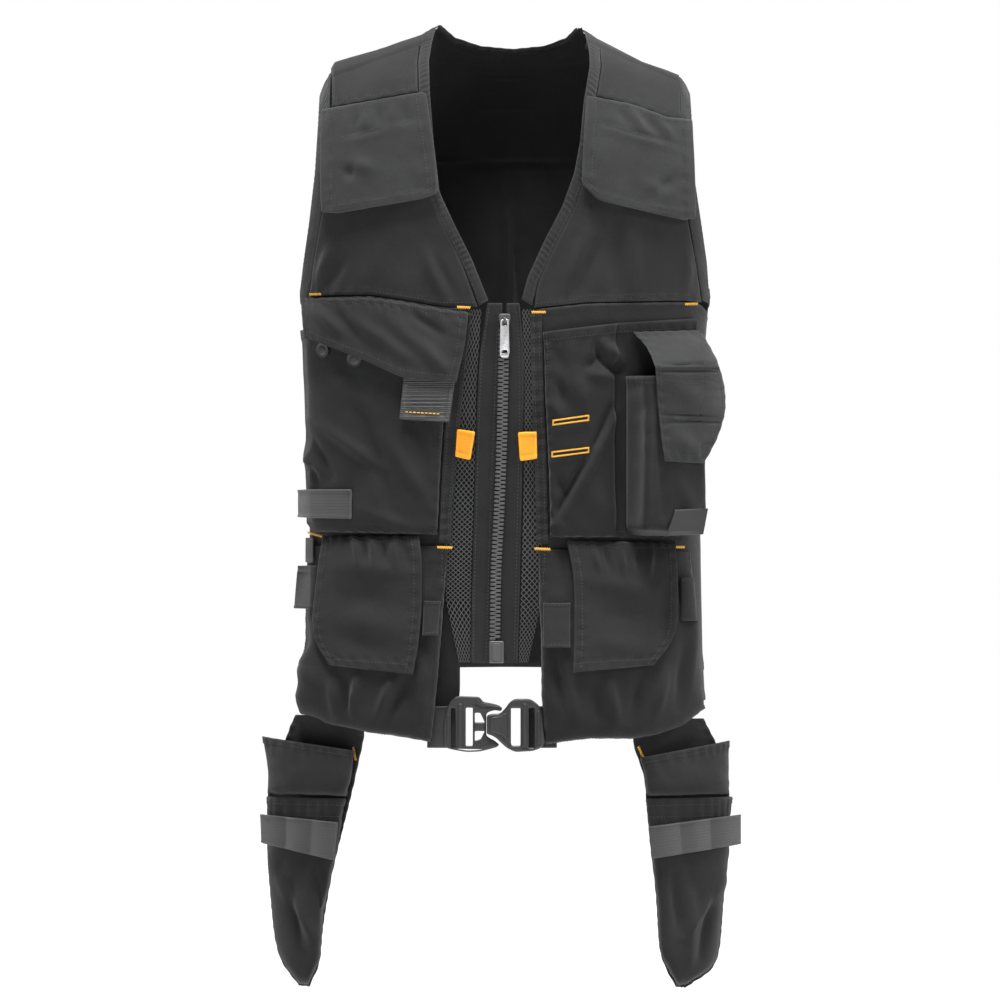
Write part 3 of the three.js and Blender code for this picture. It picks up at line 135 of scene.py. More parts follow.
SHOULDER_LINE = [
    [-1.1, -0.16], [-0.92, -0.087], [-0.868, -0.05], [-0.824, -0.026], [-0.6, -0.007], [-0.4, 0.013],
    [-0.33, 0.027], [0, 0.034], [0.37, 0.023], [0.44, 0.008], [0.663, -0.026], [0.776, -0.037],
    [0.853, -0.046], [0.9, -0.07], [1.1, -0.16],
]
CHEST_PANEL_LEFT = [
    [-0.839, 0.0907, -0.425, 0.07], [-0.859, 0.15, -0.406, 0.1414], [-0.873, 0.2071, -0.371, 0.2143],
    [-0.9, 0.2586, -0.29, 0.2671], [-0.932, 0.31, -0.212, 0.3129],
    [-0.951, 0.3571, -0.659, 0.3571, -0.498, 0.3643, -0.298, 0.3743, -0.137, 0.3743],
]
CHEST_PANEL_RIGHT = [
    [0.444, 0.0764, 0.615, 0.0871, 0.795, 0.1057, 0.856, 0.1086], [0.422, 0.1429, 0.863, 0.1643],
    [0.393, 0.19, 0.866, 0.2071], [0.329, 0.24, 0.895, 0.2586], [0.237, 0.2929, 0.927, 0.31],
    [0.161, 0.34, 0.946, 0.3429], [0.144, 0.3757, 0.395, 0.3679, 0.873, 0.365, 0.956, 0.3671],
]
YOKE_LEFT = [
    [-0.839, 0.0891, -0.427, 0.0684], [-0.844, 0.0557, -0.432, 0.0243], [-0.846, 0.0357, -0.42, -0.0014],
    [-0.846, 0.01, -0.39, -0.0357], [-0.844, 0.05, -0.361, -0.0014], [-0.841, 0.08, -0.322, 0.0157],
]
YOKE_RIGHT = [
    [0.449, 0.0749, 0.615, 0.0856, 0.795, 0.1041, 0.856, 0.107], [0.476, 0.03, 0.854, 0.0729],
    [0.468, 0.0043, 0.851, 0.05], [0.434, -0.0357, 0.851, 0.0214], [0.395, 0, 0.846, 0.0557],
    [0.366, 0.0171, 0.849, 0.0829],
]
BACK_YOKE = [
    [-0.841, 0.0843, -0.327, 0.02, -0.31, -0.0014, -0.259, 0.0036, -0.132, 0.0164, 0.039, 0.0207, 0.205,
     0.0164, 0.312, 0.0079, 0.337, 0.0086, 0.351, 0.0243, 0.849, 0.0871],
    [-0.844, 0.1186, 0, 0.0929, 0.854, 0.1186], [-0.851, 0.1536, 0, 0.1536, 0.859, 0.1536],
]
BACK_PANEL = [
    [-0.844, 0.1571, 0, 0.1571, 0.844, 0.1571], [-0.854, 0.2071, 0, 0.2071, 0.859, 0.2071],
    [-0.88, 0.2586, 0, 0.2586, 0.885, 0.2586], [-0.915, 0.3271, 0, 0.3214, 0.92, 0.3271],
    [-1.049, 0.3871, -0.966, 0.3786, 0, 0.3771, 0.956, 0.3786, 1.049, 0.3871],
    [-1.049, 0.4886, 1.049, 0.4886], [-1.049, 0.6071, 1.049, 0.6071], [-1.049, 0.7357, 1.049, 0.7357],
    [-1.049, 0.8929, 0, 0.89, 1.049, 0.8929],
]
NECK_BAND = [
    [-0.324, -0.0329, -0.244, -0.0136, -0.122, -0.0021, 0.039, 0.0021, 0.195, -0.0021, 0.298, -0.0129,
     0.371, -0.0329],
    [-0.346, -0.0129, -0.259, 0.0014, -0.132, 0.0129, 0.039, 0.0171, 0.205, 0.0129, 0.322, 0.0029, 0.395,
     -0.0114],
]
NECK_LEFT = [
    [-0.378, -0.0357, -0.329, -0.0414, -1], [-0.41, 0, -0.361, -0.0014, -1],
    [-0.422, 0.0243, -0.373, 0.0229, -1], [-0.417, 0.0671, -0.368, 0.0671, -1],
    [-0.398, 0.1414, -0.349, 0.14, -1], [-0.366, 0.2171, -0.319, 0.2129, -1],
    [-0.285, 0.2686, -0.239, 0.2629, -1], [-0.205, 0.3143, -0.161, 0.3086, -1],
    [-0.146, 0.3557, -0.105, 0.35, -1], [-0.127, 0.3729, -0.083, 0.3657, -1],
]
NECK_RIGHT = [
    [0.376, -0.0414, 0.429, -0.0357, -1], [0.412, 0.0071, 0.461, 0.0029, -1],
    [0.415, 0.03, 0.466, 0.0314, -1], [0.385, 0.0814, 0.437, 0.0843, -1], [0.366, 0.14, 0.417, 0.1429, -1],
    [0.337, 0.1857, 0.388, 0.19, -1], [0.278, 0.2329, 0.324, 0.24, -1], [0.185, 0.2857, 0.232, 0.2929, -1],
    [0.112, 0.3329, 0.156, 0.34, -1], [0.083, 0.3643, 0.129, 0.3729, -1],
]
ARMHOLE_LEFT = [
    [-0.902, 0.0357, -0.854, 0.0214, -1], [-0.912, 0.11, -0.863, 0.11, -1],
    [-0.927, 0.1829, -0.878, 0.1829, -1], [-0.956, 0.2557, -0.905, 0.2586, -1],
    [-0.985, 0.3129, -0.939, 0.3186, -1], [-1, 0.3471, -0.971, 0.3643, -1],
    [-1.098, 0.3614, -1.098, 0.3786, -1], [-1, 0.3471, -0.971, 0.3643, 1],
    [-0.976, 0.3129, -0.929, 0.3186, 1], [-0.946, 0.2557, -0.895, 0.2586, 1],
    [-0.917, 0.1829, -0.866, 0.1829, 1], [-0.902, 0.11, -0.851, 0.11, 1],
    [-0.902, 0.0557, -0.851, 0.0414, 1],
]
ARMHOLE_RIGHT = [
    [0.856, 0.03, 0.902, 0.05, -1], [0.863, 0.11, 0.912, 0.11, -1], [0.871, 0.1829, 0.92, 0.1829, -1],
    [0.905, 0.2586, 0.956, 0.2529, -1], [0.939, 0.3157, 0.985, 0.31, -1],
    [0.966, 0.3643, 0.995, 0.3471, -1], [1.098, 0.3786, 1.098, 0.3614, -1],
    [0.966, 0.3643, 0.995, 0.3471, 1], [0.934, 0.3186, 0.98, 0.3129, 1], [0.902, 0.2586, 0.951, 0.2557, 1],
    [0.866, 0.1829, 0.915, 0.1829, 1], [0.856, 0.11, 0.905, 0.11, 1], [0.854, 0.0471, 0.898, 0.0671, 1],
]
FLAP_LEFT = [
    [-0.895, 0.0929, -0.39, 0.0686], [-0.9, 0.1643, -0.351, 0.14], [-0.898, 0.2071, -0.332, 0.1857],
    [-0.893, 0.2386, -0.815, 0.2407, -0.4, 0.2207, -0.327, 0.2129],
]
FLAP_RIGHT = [
    [0.4, 0.0743, 0.615, 0.0857, 0.795, 0.1043, 0.912, 0.1071], [0.385, 0.14, 0.922, 0.1643],
    [0.376, 0.1929, 0.927, 0.21], [0.38, 0.2014, 0.454, 0.2229, 0.776, 0.2443, 0.873, 0.25, 0.927, 0.2471],
]
FRONT_LEFT = [
    [-1.049, 0.3871, -0.98, 0.3757, -0.902, 0.3621, -0.659, 0.36, -0.498, 0.3671, -0.298, 0.3771, -0.19,
     0.3774], [-1.049, 0.43, -0.21, 0.43], [-1.049, 0.4886, -0.229, 0.4886], [-1.049, 0.59, -0.263, 0.59],
    [-1.049, 0.7329, -0.293, 0.7329], [-1.049, 0.85, -0.327, 0.85], [-1.049, 0.9357, -0.366, 0.9414],
]
FRONT_RIGHT = [
    [0.151, 0.3793, 0.395, 0.3714, 0.873, 0.3686, 0.956, 0.3721, 0.976, 0.3786, 1.049, 0.39],
    [0.154, 0.43, 1.049, 0.43], [0.156, 0.4886, 1.049, 0.4886], [0.171, 0.5914, 1.049, 0.5914],
    [0.185, 0.7329, 1.049, 0.7329], [0.195, 0.85, 1.049, 0.85], [0.215, 0.9414, 1.049, 0.9357],
]
EDGE_LEFT = [
    [-0.239, 0.3864, -0.166, 0.385], [-0.273, 0.4886, -0.205, 0.4886], [-0.3, 0.59, -0.239, 0.59],
    [-0.312, 0.6671, -0.261, 0.6671], [-0.317, 0.7114, -0.266, 0.7114],
]
EDGE_RIGHT = [
    [0.127, 0.3857, 0.176, 0.3843], [0.132, 0.4886, 0.183, 0.4886], [0.146, 0.5914, 0.198, 0.5914],
    [0.156, 0.7, 0.207, 0.7], [0.156, 0.7114, 0.207, 0.7114],
]
MESH_LEFT = [
    [-0.185, 0.3786, -0.115, 0.3786], [-0.22, 0.4886, -0.139, 0.4886], [-0.259, 0.59, -0.146, 0.59],
    [-0.283, 0.6671, -0.154, 0.6671], [-0.288, 0.7329, -0.161, 0.7329], [-0.288, 0.7929, -0.166, 0.7929],
    [-0.224, 0.8814, -0.168, 0.8814],
]
MESH_RIGHT = [
    [0.083, 0.3786, 0.146, 0.3786], [0.095, 0.4886, 0.156, 0.4886], [0.093, 0.59, 0.171, 0.59],
    [0.085, 0.7, 0.18, 0.7], [0.076, 0.7929, 0.18, 0.7929], [0.066, 0.8814, 0.112, 0.8814],
]
TAPE_LEFT = [
    [-0.083, 0.3707, -0.015, 0.3707], [-0.117, 0.4357, -0.024, 0.4357], [-0.132, 0.5071, -0.034, 0.5071],
    [-0.146, 0.65, -0.054, 0.65], [-0.159, 0.7929, -0.068, 0.7929], [-0.161, 0.8814, -0.078, 0.8814],
]
TAPE_RIGHT = [
    [0.01, 0.3707, 0.068, 0.3707], [0.01, 0.4357, 0.088, 0.4357], [0, 0.5071, 0.088, 0.5071],
    [-0.01, 0.65, 0.078, 0.65], [-0.034, 0.7929, 0.068, 0.7929], [-0.044, 0.8814, 0.059, 0.8814],
]
CHAIN_LINE = [
    [-0.005, 0.4057], [-0.007, 0.45], [-0.015, 0.5643], [-0.029, 0.6671], [-0.044, 0.7486],
    [-0.049, 0.8471],
]
TAB_LEFT = [
    [-0.229, 0.5514, -0.151, 0.5543], [-0.237, 0.5871, -0.173, 0.5914],
]
TAB_RIGHT = [
    [0.068, 0.5557, 0.149, 0.5543], [0.078, 0.5929, 0.151, 0.59],
]
POCKET_LEFT = [
    [-1, 0.4071, -0.254, 0.4129], [-1, 0.4886, -0.285, 0.4886], [-1.01, 0.59, -0.312, 0.59],
    [-1.01, 0.6671, -0.324, 0.6671], [-0.937, 0.6957, -0.329, 0.6986],
]
POCKET_FLAP = [
    [-0.995, 0.3629, -0.659, 0.3621, -0.498, 0.3693, -0.298, 0.3793, -0.18, 0.3829],
    [-0.99, 0.39, -0.805, 0.3971, -0.498, 0.4143, -0.195, 0.4286],
    [-0.98, 0.4171, -0.839, 0.4329, -0.69, 0.45, -0.507, 0.4743, -0.366, 0.48, -0.239, 0.4829],
]
PLAQUE = [
    [-0.488, 0.47, -0.244, 0.4771], [-0.512, 0.5343, -0.273, 0.5386],
]
WEBBING_LOOP = [
    [-1.01, 0.6357, -0.751, 0.6357], [-1.01, 0.6743, -0.751, 0.6757],
]
POCKET_RIGHT = [
    [0.188, 0.4114, 0.556, 0.3986, 0.937, 0.3914], [0.195, 0.4886, 0.912, 0.4886],
    [0.21, 0.5914, 0.902, 0.5914], [0.22, 0.6671, 0.902, 0.6671], [0.22, 0.7029, 0.902, 0.7029],
]
PHONE_FLAP = [
    [0.624, 0.4114, 0.785, 0.41, 0.951, 0.4086], [0.688, 0.43, 0.976, 0.4214],
    [0.732, 0.4586, 1.034, 0.4529], [0.737, 0.4886, 1.068, 0.4886], [0.746, 0.5214, 1.073, 0.5243],
    [0.761, 0.5643, 1.029, 0.5643], [0.776, 0.5943, 0.966, 0.5971],
]
PHONE_POCKET = [
    [0.59, 0.4743, 0.678, 0.4743, 0.829, 0.4743, 0.98, 0.4743, 0.883, 0.4743],
    [0.59, 0.55, 0.673, 0.55, 0.829, 0.55, 0.985, 0.55, 0.883, 0.55],
    [0.59, 0.6357, 0.668, 0.6357, 0.829, 0.6357, 0.985, 0.6357, 0.883, 0.6357],
    [0.59, 0.6871, 0.673, 0.6929, 0.829, 0.6943, 0.98, 0.6929, 0.883, 0.6871],
    [0.6, 0.6986, 0.683, 0.7014, 0.805, 0.7014, 0.863, 0.7, 0.878, 0.6971],
]
SIDE_TAG = [
    [0.829, 0.6643, 0.985, 0.6621], [0.785, 0.7, 0.961, 0.6986],
]
BAG_LEFT = [
    [-0.98, 0.7157, -0.278, 0.7157], [-1.034, 0.7886, -0.295, 0.7886], [-1.054, 0.85, -0.312, 0.85],
    [-1.059, 0.9043, -0.332, 0.9214], [-1.02, 0.9386, -0.873, 0.9686, -0.688, 0.9786, -0.359, 0.9943],
]
BAG_RIGHT = [
    [0.166, 0.72, 0.902, 0.7243], [0.166, 0.7971, 0.932, 0.7971], [0.176, 0.86, 0.951, 0.86],
    [0.176, 0.9229, 0.966, 0.9186],
    [0.195, 0.9971, 0.41, 0.9894, 0.615, 0.99, 0.732, 0.9843, 0.868, 0.9714, 0.976, 0.9471],
]
BAG_FLAP_LEFT = [
    [-0.885, 0.7029, -0.42, 0.7014], [-0.907, 0.7386, -0.405, 0.7357], [-0.937, 0.8143, -0.407, 0.81],
    [-0.927, 0.85, -0.424, 0.8571], [-0.854, 0.8843, -0.449, 0.8971],
]
BAG_FLAP_RIGHT = [
    [0.302, 0.7086, 0.829, 0.7114], [0.337, 0.7557, 0.839, 0.76], [0.34, 0.8271, 0.839, 0.8329],
    [0.337, 0.8643, 0.795, 0.8571], [0.332, 0.8943, 0.722, 0.8843],
]
LOOP_LEFT_OUTER = [
    [-1.015, 0.7443, -0.912, 0.7443], [-1.029, 0.8043, -0.932, 0.8043],
]
LOOP_LEFT_INNER = [
    [-0.395, 0.7943, -0.312, 0.7943], [-0.4, 0.8414, -0.327, 0.8414],
]
LOOP_RIGHT_INNER = [
    [0.185, 0.7971, 0.317, 0.7971], [0.185, 0.8586, 0.317, 0.8586],
]
LOOP_RIGHT_OUTER = [
    [0.851, 0.7614, 0.922, 0.7614], [0.851, 0.8214, 0.937, 0.8214],
]
STRAP = [
    [-0.971, 0.7043, -0.937, 0.7043], [-0.971, 0.7386, -0.937, 0.7386],
]
INNER_LAYER = [
    [-0.361, 0.7786, -0.259, 0.7814], [-0.366, 0.85, -0.222, 0.8571], [-0.376, 0.9357, -0.22, 0.9357],
    [-0.385, 0.9829, -0.283, 0.985],
]
HOLSTER_BACK_LEFT = [
    [-1.02, 0.9571, -0.902, 0.9771, -0.698, 0.9614], [-1.049, 0.9743, -0.883, 0.9857, -0.688, 0.9743],
    [-1.068, 0.9929, -0.878, 0.9943, -0.685, 0.9857], [-1.151, 1.0371, -0.727, 1.04],
    [-1.161, 1.0786, -0.756, 1.0786], [-1.161, 1.1514, -0.82, 1.1514], [-1.151, 1.1957, -0.854, 1.1957],
    [-1.127, 1.2743, -0.893, 1.2643], [-1.093, 1.3114, -0.902, 1.3114], [-1.005, 1.3429, -0.956, 1.3443],
]
HOLSTER_UPPER_LEFT = [
    [-1.185, 0.9886, -0.737, 1.0071], [-1.156, 1.0371, -0.746, 1.0429], [-1.161, 1.07, -0.771, 1.0714],
]
HOLSTER_LOWER_LEFT = [
    [-1.161, 1.0743, -0.776, 1.0757], [-1.161, 1.1514, -0.82, 1.1514], [-1.151, 1.1957, -0.854, 1.1957],
    [-1.127, 1.2743, -0.893, 1.2643], [-1.088, 1.3086, -0.907, 1.31], [-1.005, 1.34, -0.961, 1.3414],
]
HOLSTER_LOOPS_LEFT = [
    [-1.195, 1.1, -0.815, 1.11], [-1.19, 1.1386, -0.834, 1.1614],
]
HOLSTER_BACK_RIGHT = [
    [0.659, 0.9643, 0.844, 0.9807, 0.966, 0.9621], [0.634, 0.9814, 0.834, 0.9907, 0.995, 0.9786],
    [0.62, 0.9957, 0.829, 0.9986, 1.024, 0.9943], [0.683, 1.0443, 1.093, 1.0443],
    [0.688, 1.0786, 1.093, 1.0786], [0.712, 1.1543, 1.098, 1.1471], [0.737, 1.2086, 1.068, 1.2086],
    [0.751, 1.2943, 1.049, 1.2943], [0.795, 1.3243, 1.01, 1.3229], [0.834, 1.3443, 0.878, 1.3443],
]
HOLSTER_UPPER_RIGHT = [
    [0.659, 1.0171, 1.093, 0.9943], [0.683, 1.0443, 1.093, 1.0443], [0.688, 1.0714, 1.093, 1.07],
]
HOLSTER_LOWER_RIGHT = [
    [0.688, 1.0757, 1.107, 1.0743], [0.712, 1.1543, 1.093, 1.1471], [0.737, 1.2086, 1.068, 1.2086],
    [0.751, 1.2943, 1.044, 1.2943], [0.8, 1.3214, 1.005, 1.32], [0.839, 1.3414, 0.878, 1.3414],
]
HOLSTER_LOOPS_RIGHT = [
    [0.702, 1.1157, 1.151, 1.1], [0.722, 1.1586, 1.151, 1.14],
]
PLUG_OUTLINE = [
    [-0.376, 0.277], [-0.149, 0.267], [-0.119, 0.218], [-0.05, 0.208], [0.03, 0.188], [0.075, 0.158],
    [0.06, 0.125], [0, 0.138], [-0.06, 0.12], [-0.084, 0.1], [-0.084, -0.115], [-0.05, -0.14], [0, -0.165],
    [0.045, -0.205], [0.02, -0.228], [-0.05, -0.248], [-0.149, -0.272], [-0.277, -0.277], [-0.396, -0.257],
    [-0.475, -0.238], [-0.505, -0.198], [-0.505, 0.02], [-0.475, 0.149], [-0.446, 0.218],
]
PLUG_HOLES = [
    [[-0.431, 0.155], [-0.431, -0.235], [-0.392, -0.235], [-0.392, 0.155]],
    [[-0.287, 0.16], [-0.287, -0.215], [-0.218, -0.215], [-0.218, 0.16]],
    [[-0.198, 0.11], [-0.198, 0.015], [-0.1, 0.015], [-0.145, 0.11]],
    [[-0.198, -0.07], [-0.198, -0.165], [-0.14, -0.15], [-0.1, -0.07]],
]
SOCKET_OUTLINE = [
    [-0.08, 0.085], [-0.03, 0.1], [0.05, 0.1], [0.099, 0.149], [0.149, 0.218], [0.198, 0.248],
    [0.347, 0.248], [0.406, 0.208], [0.446, 0.168], [0.465, 0.099], [0.485, -0.099], [0.495, -0.178],
    [0.455, -0.238], [0.376, -0.267], [0.198, -0.277], [0.119, -0.238], [0.075, -0.2], [0.01, -0.135],
    [-0.04, -0.11], [-0.08, -0.1],
]
SOCKET_HOLES = [
    [[0.158, 0.155], [0.158, -0.19], [0.168, -0.215], [0.252, -0.215], [0.252, 0.155]],
    [[0.337, 0.155], [0.337, -0.235], [0.386, -0.235], [0.386, 0.155]],
]


def table_value(table, key, column):
    """Reads a column of a table between its rows."""
    keys = [row[0] for row in table]
    return np.interp(key, keys, [row[column] for row in table])


def shoulder_height(x):
    return table_value(SHOULDER_LINE, x / HALF_WIDTH, 1) * LENGTH


def section(z):
    """Half width, front depth and back depth of the body at a level."""
    down = np.maximum(-z / LENGTH, ARCH_START)
    return (
        table_value(BODY, down, 1) * HALF_WIDTH,
        table_value(BODY, down, 2) * CHEST_DEPTH,
        table_value(BODY, down, 3) * BACK_DEPTH,
    )


def body_level(p):
    """1 on the body's surface and more outside it, for an array of points."""
    x, y, z = p[..., 0], p[..., 1], p[..., 2]
    width, front, back = section(z)
    depth = np.where(y < 0, front, back)
    across = (np.abs(x) / width) ** ROUNDNESS
    start = -ARCH_START * LENGTH
    low = across + (np.abs(y) / depth) ** ROUNDNESS
    reach = depth * np.maximum(1 - across, 1e-4) ** (1 / ROUNDNESS)
    rise = np.maximum((z - start) / (shoulder_height(x) - start), 0)
    high = (np.abs(y) / reach) ** SHOULDER_ROUNDNESS + rise**SHOULDER_ROUNDNESS
    return np.where(z <= start, low, high)


def unit(v):
    return v / np.maximum(np.linalg.norm(v, axis=-1, keepdims=True), 1e-12)


def outward(p):
    e = 0.0002
    out = np.zeros_like(p)
    for axis in range(3):
        step = np.zeros(3)
        step[axis] = e
        out[..., axis] = body_level(p + step) - body_level(p - step)
    return unit(out)


def turn_to_x(turn, z):
    s = np.sin(turn)
    return section(z)[0] * np.sign(s) * np.abs(s) ** (2 / ROUNDNESS)


def x_to_turn(x, z):
    share = np.minimum(np.abs(x) / section(z)[0], 1)
    return np.sign(x) * np.minimum(np.arcsin(share ** (ROUNDNESS / 2)), SIDE_LIMIT)


def surface_point(turn, z, face):
    x = turn_to_x(turn, z)
    height = np.minimum(z, shoulder_height(x) - 0.000005)
    _, front, back = section(height)
    y = np.where(face < 0, front, back) * np.cos(turn) ** (2 / ROUNDNESS)
    start = -ARCH_START * LENGTH
    rise = np.clip((height - start) / (shoulder_height(x) - start), 0, 1)
    arch = np.maximum(1 - rise**SHOULDER_ROUNDNESS, 0) ** (1 / SHOULDER_ROUNDNESS)
    y = np.where(height > start, y * arch, y)
    return np.stack([x, face * y, height], axis=-1)


def drape(x, z, lift, face):
    """The points that lie `lift` off the body and are seen from the front at x and z."""
    height = z
    for _ in range(3):
        low = np.full(x.shape, -SIDE_LIMIT)
        high = np.full(x.shape, SIDE_LIMIT)
        for _ in range(19):
            middle = (low + high) / 2
            point = surface_point(middle, height, face)
            normal = outward(point)
            inside = point[..., 0] + normal[..., 0] * lift < x
            low = np.where(inside, middle, low)
            high = np.where(inside, high, middle)
        height = z - normal[..., 2] * lift
    return point + normal * lift[..., None]


def holster_place(sign):
    """Holsters hang below the pouches and face outwards."""

    def place(x, z, lift, face):
        foot = x - sign * math.sin(HOLSTER_LEAN) * lift
        out = sign * foot - HOLSTER_INNER * HALF_WIDTH
        curl = HOLSTER_CURVE * ((out - HOLSTER_HALF) / HOLSTER_HALF) ** 2
        y = -HOLSTER_FORWARD + out * math.tan(HOLSTER_LEAN) + curl
        return np.stack([x, y - math.cos(HOLSTER_LEAN) * lift, z], axis=-1)

    return place


def row_points(row, t):
    """Across and down shares along one row of a table, evenly round the body."""
    xs, downs = np.array(row[0::2]), np.array(row[1::2])
    start = x_to_turn(xs[0] * HALF_WIDTH, -downs[0] * LENGTH)
    end = x_to_turn(xs[-1] * HALF_WIDTH, -downs[-1] * LENGTH)
    turn = start + (end - start) * t
    depth = downs[0] + (downs[-1] - downs[0]) * t
    across = turn_to_x(turn, -depth * LENGTH) / HALF_WIDTH
    edge = xs[0] + (xs[-1] - xs[0]) * t
    across = np.where(np.abs(turn) < SIDE_LIMIT - 1e-6, across, edge)
    return across, np.interp(across, xs, downs)


def straight_row(row, t):
    across = row[0] + (row[-2] - row[0]) * t
    return across, row[1] + (row[-1] - row[1]) * t


def level(lift, u, v):
    return lift(u, v) if callable(lift) else np.full(u.shape, float(lift))


FOOT_ROWS = 1 - np.array([0.11, 0.07, 0.045, 0.028, 0.016, 0.008, 0.003])
SIDE_STOPS = np.array([0.006, 0.014, 0.026, 0.04, 0.056])


def pouch_stops(count):
    """Even shares across a pouch, closer together at its side walls."""
    return np.unique(np.concatenate([np.linspace(0, 1, count), SIDE_STOPS, 1 - SIDE_STOPS]))


def lay(rows, lift, face=-1, turns_back_at=None, place=None, pitch=0.003, stops=None, soften=2, foot=False):
    """Outer points of a sheet laid on the body: a fine grid between the rows of its table."""
    tall = sum(
        max(
            math.dist((a[0] * HALF_WIDTH, a[1] * LENGTH), (b[0] * HALF_WIDTH, b[1] * LENGTH)),
            math.dist((a[-2] * HALF_WIDTH, a[-1] * LENGTH), (b[-2] * HALF_WIDTH, b[-1] * LENGTH)),
        )
        for a, b in zip(rows, rows[1:])
    )
    wide = max(abs(r[-2] - r[0]) for r in rows) * HALF_WIDTH * 1.15
    if stops is None:
        stops = np.linspace(0, 1, max(int(wide / pitch), 4) + 1)
    at = row_points if place is None else straight_row
    lines = [at(row, np.asarray(stops)) for row in rows]
    spans = len(rows) - 1
    steps = max(int(round(tall / pitch / spans)), 2)
    downs = np.linspace(0, spans, spans * steps + 1)
    index = np.arange(spans + 1)
    across = np.array([np.interp(downs, index, [ln[0][j] for ln in lines]) for j in range(len(stops))]).T
    depth = np.array([np.interp(downs, index, [ln[1][j] for ln in lines]) for j in range(len(stops))]).T
    if turns_back_at is None:
        for _ in range(soften * steps):
            across[1:-1] = 0.25 * across[:-2] + 0.5 * across[1:-1] + 0.25 * across[2:]
            depth[1:-1] = 0.25 * depth[:-2] + 0.5 * depth[1:-1] + 0.25 * depth[2:]
    if foot:
        finer = np.unique(np.concatenate([downs, FOOT_ROWS * spans]))
        across = np.array([np.interp(finer, downs, across[:, j]) for j in range(len(stops))]).T
        depth = np.array([np.interp(finer, downs, depth[:, j]) for j in range(len(stops))]).T
        downs = finer
    u = np.broadcast_to(np.asarray(stops)[None, :], across.shape)
    v = np.broadcast_to((downs / spans)[:, None], across.shape)
    lifts = level(lift, u, v)
    faces = np.full(across.shape, float(face))
    if turns_back_at is not None:
        faces[downs >= turns_back_at] = -face
    return (place or drape)(across * HALF_WIDTH, -depth * LENGTH, lifts, faces)


def strip_grid(rows, lift, columns, pitch=0.0016):
    """A narrow strip between two edge lines, with its face in the table's last column."""
    dense = []
    for first, second in zip(rows, rows[1:]):
        same = first[4] == second[4]
        for t in np.linspace(0, 1, 9 if same else 2)[:-1]:
            dense.append([p + (q - p) * t for p, q in zip(first[:4], second[:4])] + [first[4]])
    dense.append(rows[-1])
    table = np.array(dense, dtype=float)
    lifts = np.full(len(table), lift)
    a = drape(table[:, 0] * HALF_WIDTH, -table[:, 1] * LENGTH, lifts, table[:, 4])
    b = drape(table[:, 2] * HALF_WIDTH, -table[:, 3] * LENGTH, lifts, table[:, 4])
    a, b = smooth_path(a, pitch), smooth_path(b, pitch)
    n = max(len(a), len(b))
    a, b = resample(a, n), resample(b, n)
    t = np.linspace(0, 1, columns)[None, :, None]
    return a[:, None, :] * (1 - t) + b[:, None, :] * t


def smooth_path(points, pitch):
    """A path rounded through its points, at an even pitch."""
    path = resample(np.array(points), max(int(path_length(points) / pitch), 8))
    for _ in range(12):
        path[1:-1] = 0.25 * path[:-2] + 0.5 * path[1:-1] + 0.25 * path[2:]
    return path


def path_length(points):
    p = np.array(points)
    return float(np.linalg.norm(np.diff(p, axis=0), axis=1).sum())


def resample(points, count):
    p = np.array(points)
    run = np.concatenate([[0], np.cumsum(np.linalg.norm(np.diff(p, axis=0), axis=1))])
    at = np.linspace(0, run[-1], count)
    return np.stack([np.interp(at, run, p[:, k]) for k in range(3)], axis=-1)


def full(t, power):
    return np.maximum(1 - np.abs(2 * t - 1) ** power, 0) ** (1 / power)


def pouch(foot, depth, mouth):
    """A pouch stands off its foot and closes at the sides and the bottom."""

    def lift(u, v):
        belly = mouth + (1 - mouth) * np.sin(np.minimum(v * 1.4, 1) * math.pi / 2)
        bottom = np.maximum(1 - v**10, 0) ** (1 / 5)
        return foot + depth * full(u, 4) * belly * bottom

    return lift


def flap(top, bottom):
    """A flap is sewn down along its top and stands off at its lower edge."""
    return lambda u, v: top + (bottom - top) * np.maximum(v, 0) ** 0.55


def grid_normals(grid, turned):
    across = np.gradient(grid, axis=1)
    along = np.gradient(grid, axis=0)
    return unit(np.cross(across, along)) * turned


def edge_runs(grid):
    """Arc lengths across and along a grid, and the distance of each point to its four edges."""
    across = np.linalg.norm(np.diff(grid, axis=1), axis=2)
    along = np.linalg.norm(np.diff(grid, axis=0), axis=2)
    s = np.concatenate([np.zeros((grid.shape[0], 1)), np.cumsum(across, axis=1)], axis=1)
    t = np.concatenate([np.zeros((1, grid.shape[1])), np.cumsum(along, axis=0)], axis=0)
    return s, t, {"left": s, "right": s[:, -1:] - s, "top": t, "bottom": t[-1:, :] - t}


def wrinkles(x, z, seed, size, sharp=0.5):
    """Soft creases in many directions, about -1 to 1, with the same pattern on every run."""
    rng = random.Random(seed)
    total = np.zeros(x.shape)
    for _ in range(6):
        angle = rng.uniform(0, math.pi)
        wave = size * rng.uniform(0.55, 1.5)
        phase = rng.uniform(0, 6.28)
        bend = rng.uniform(0, 6.28)
        a = (x * math.cos(angle) + z * math.sin(angle)) / wave * 2 * math.pi
        b = (z * math.cos(angle) - x * math.sin(angle)) / wave * 2.4
        wavy = np.sin(a + phase + 1.6 * np.sin(b + bend))
        mask = 0.5 + 0.5 * np.sin(b * 0.7 + bend * 2)
        total += mask * (wavy - sharp * np.cos(2 * (a + phase)) * 0.5)
    return total / 3.2


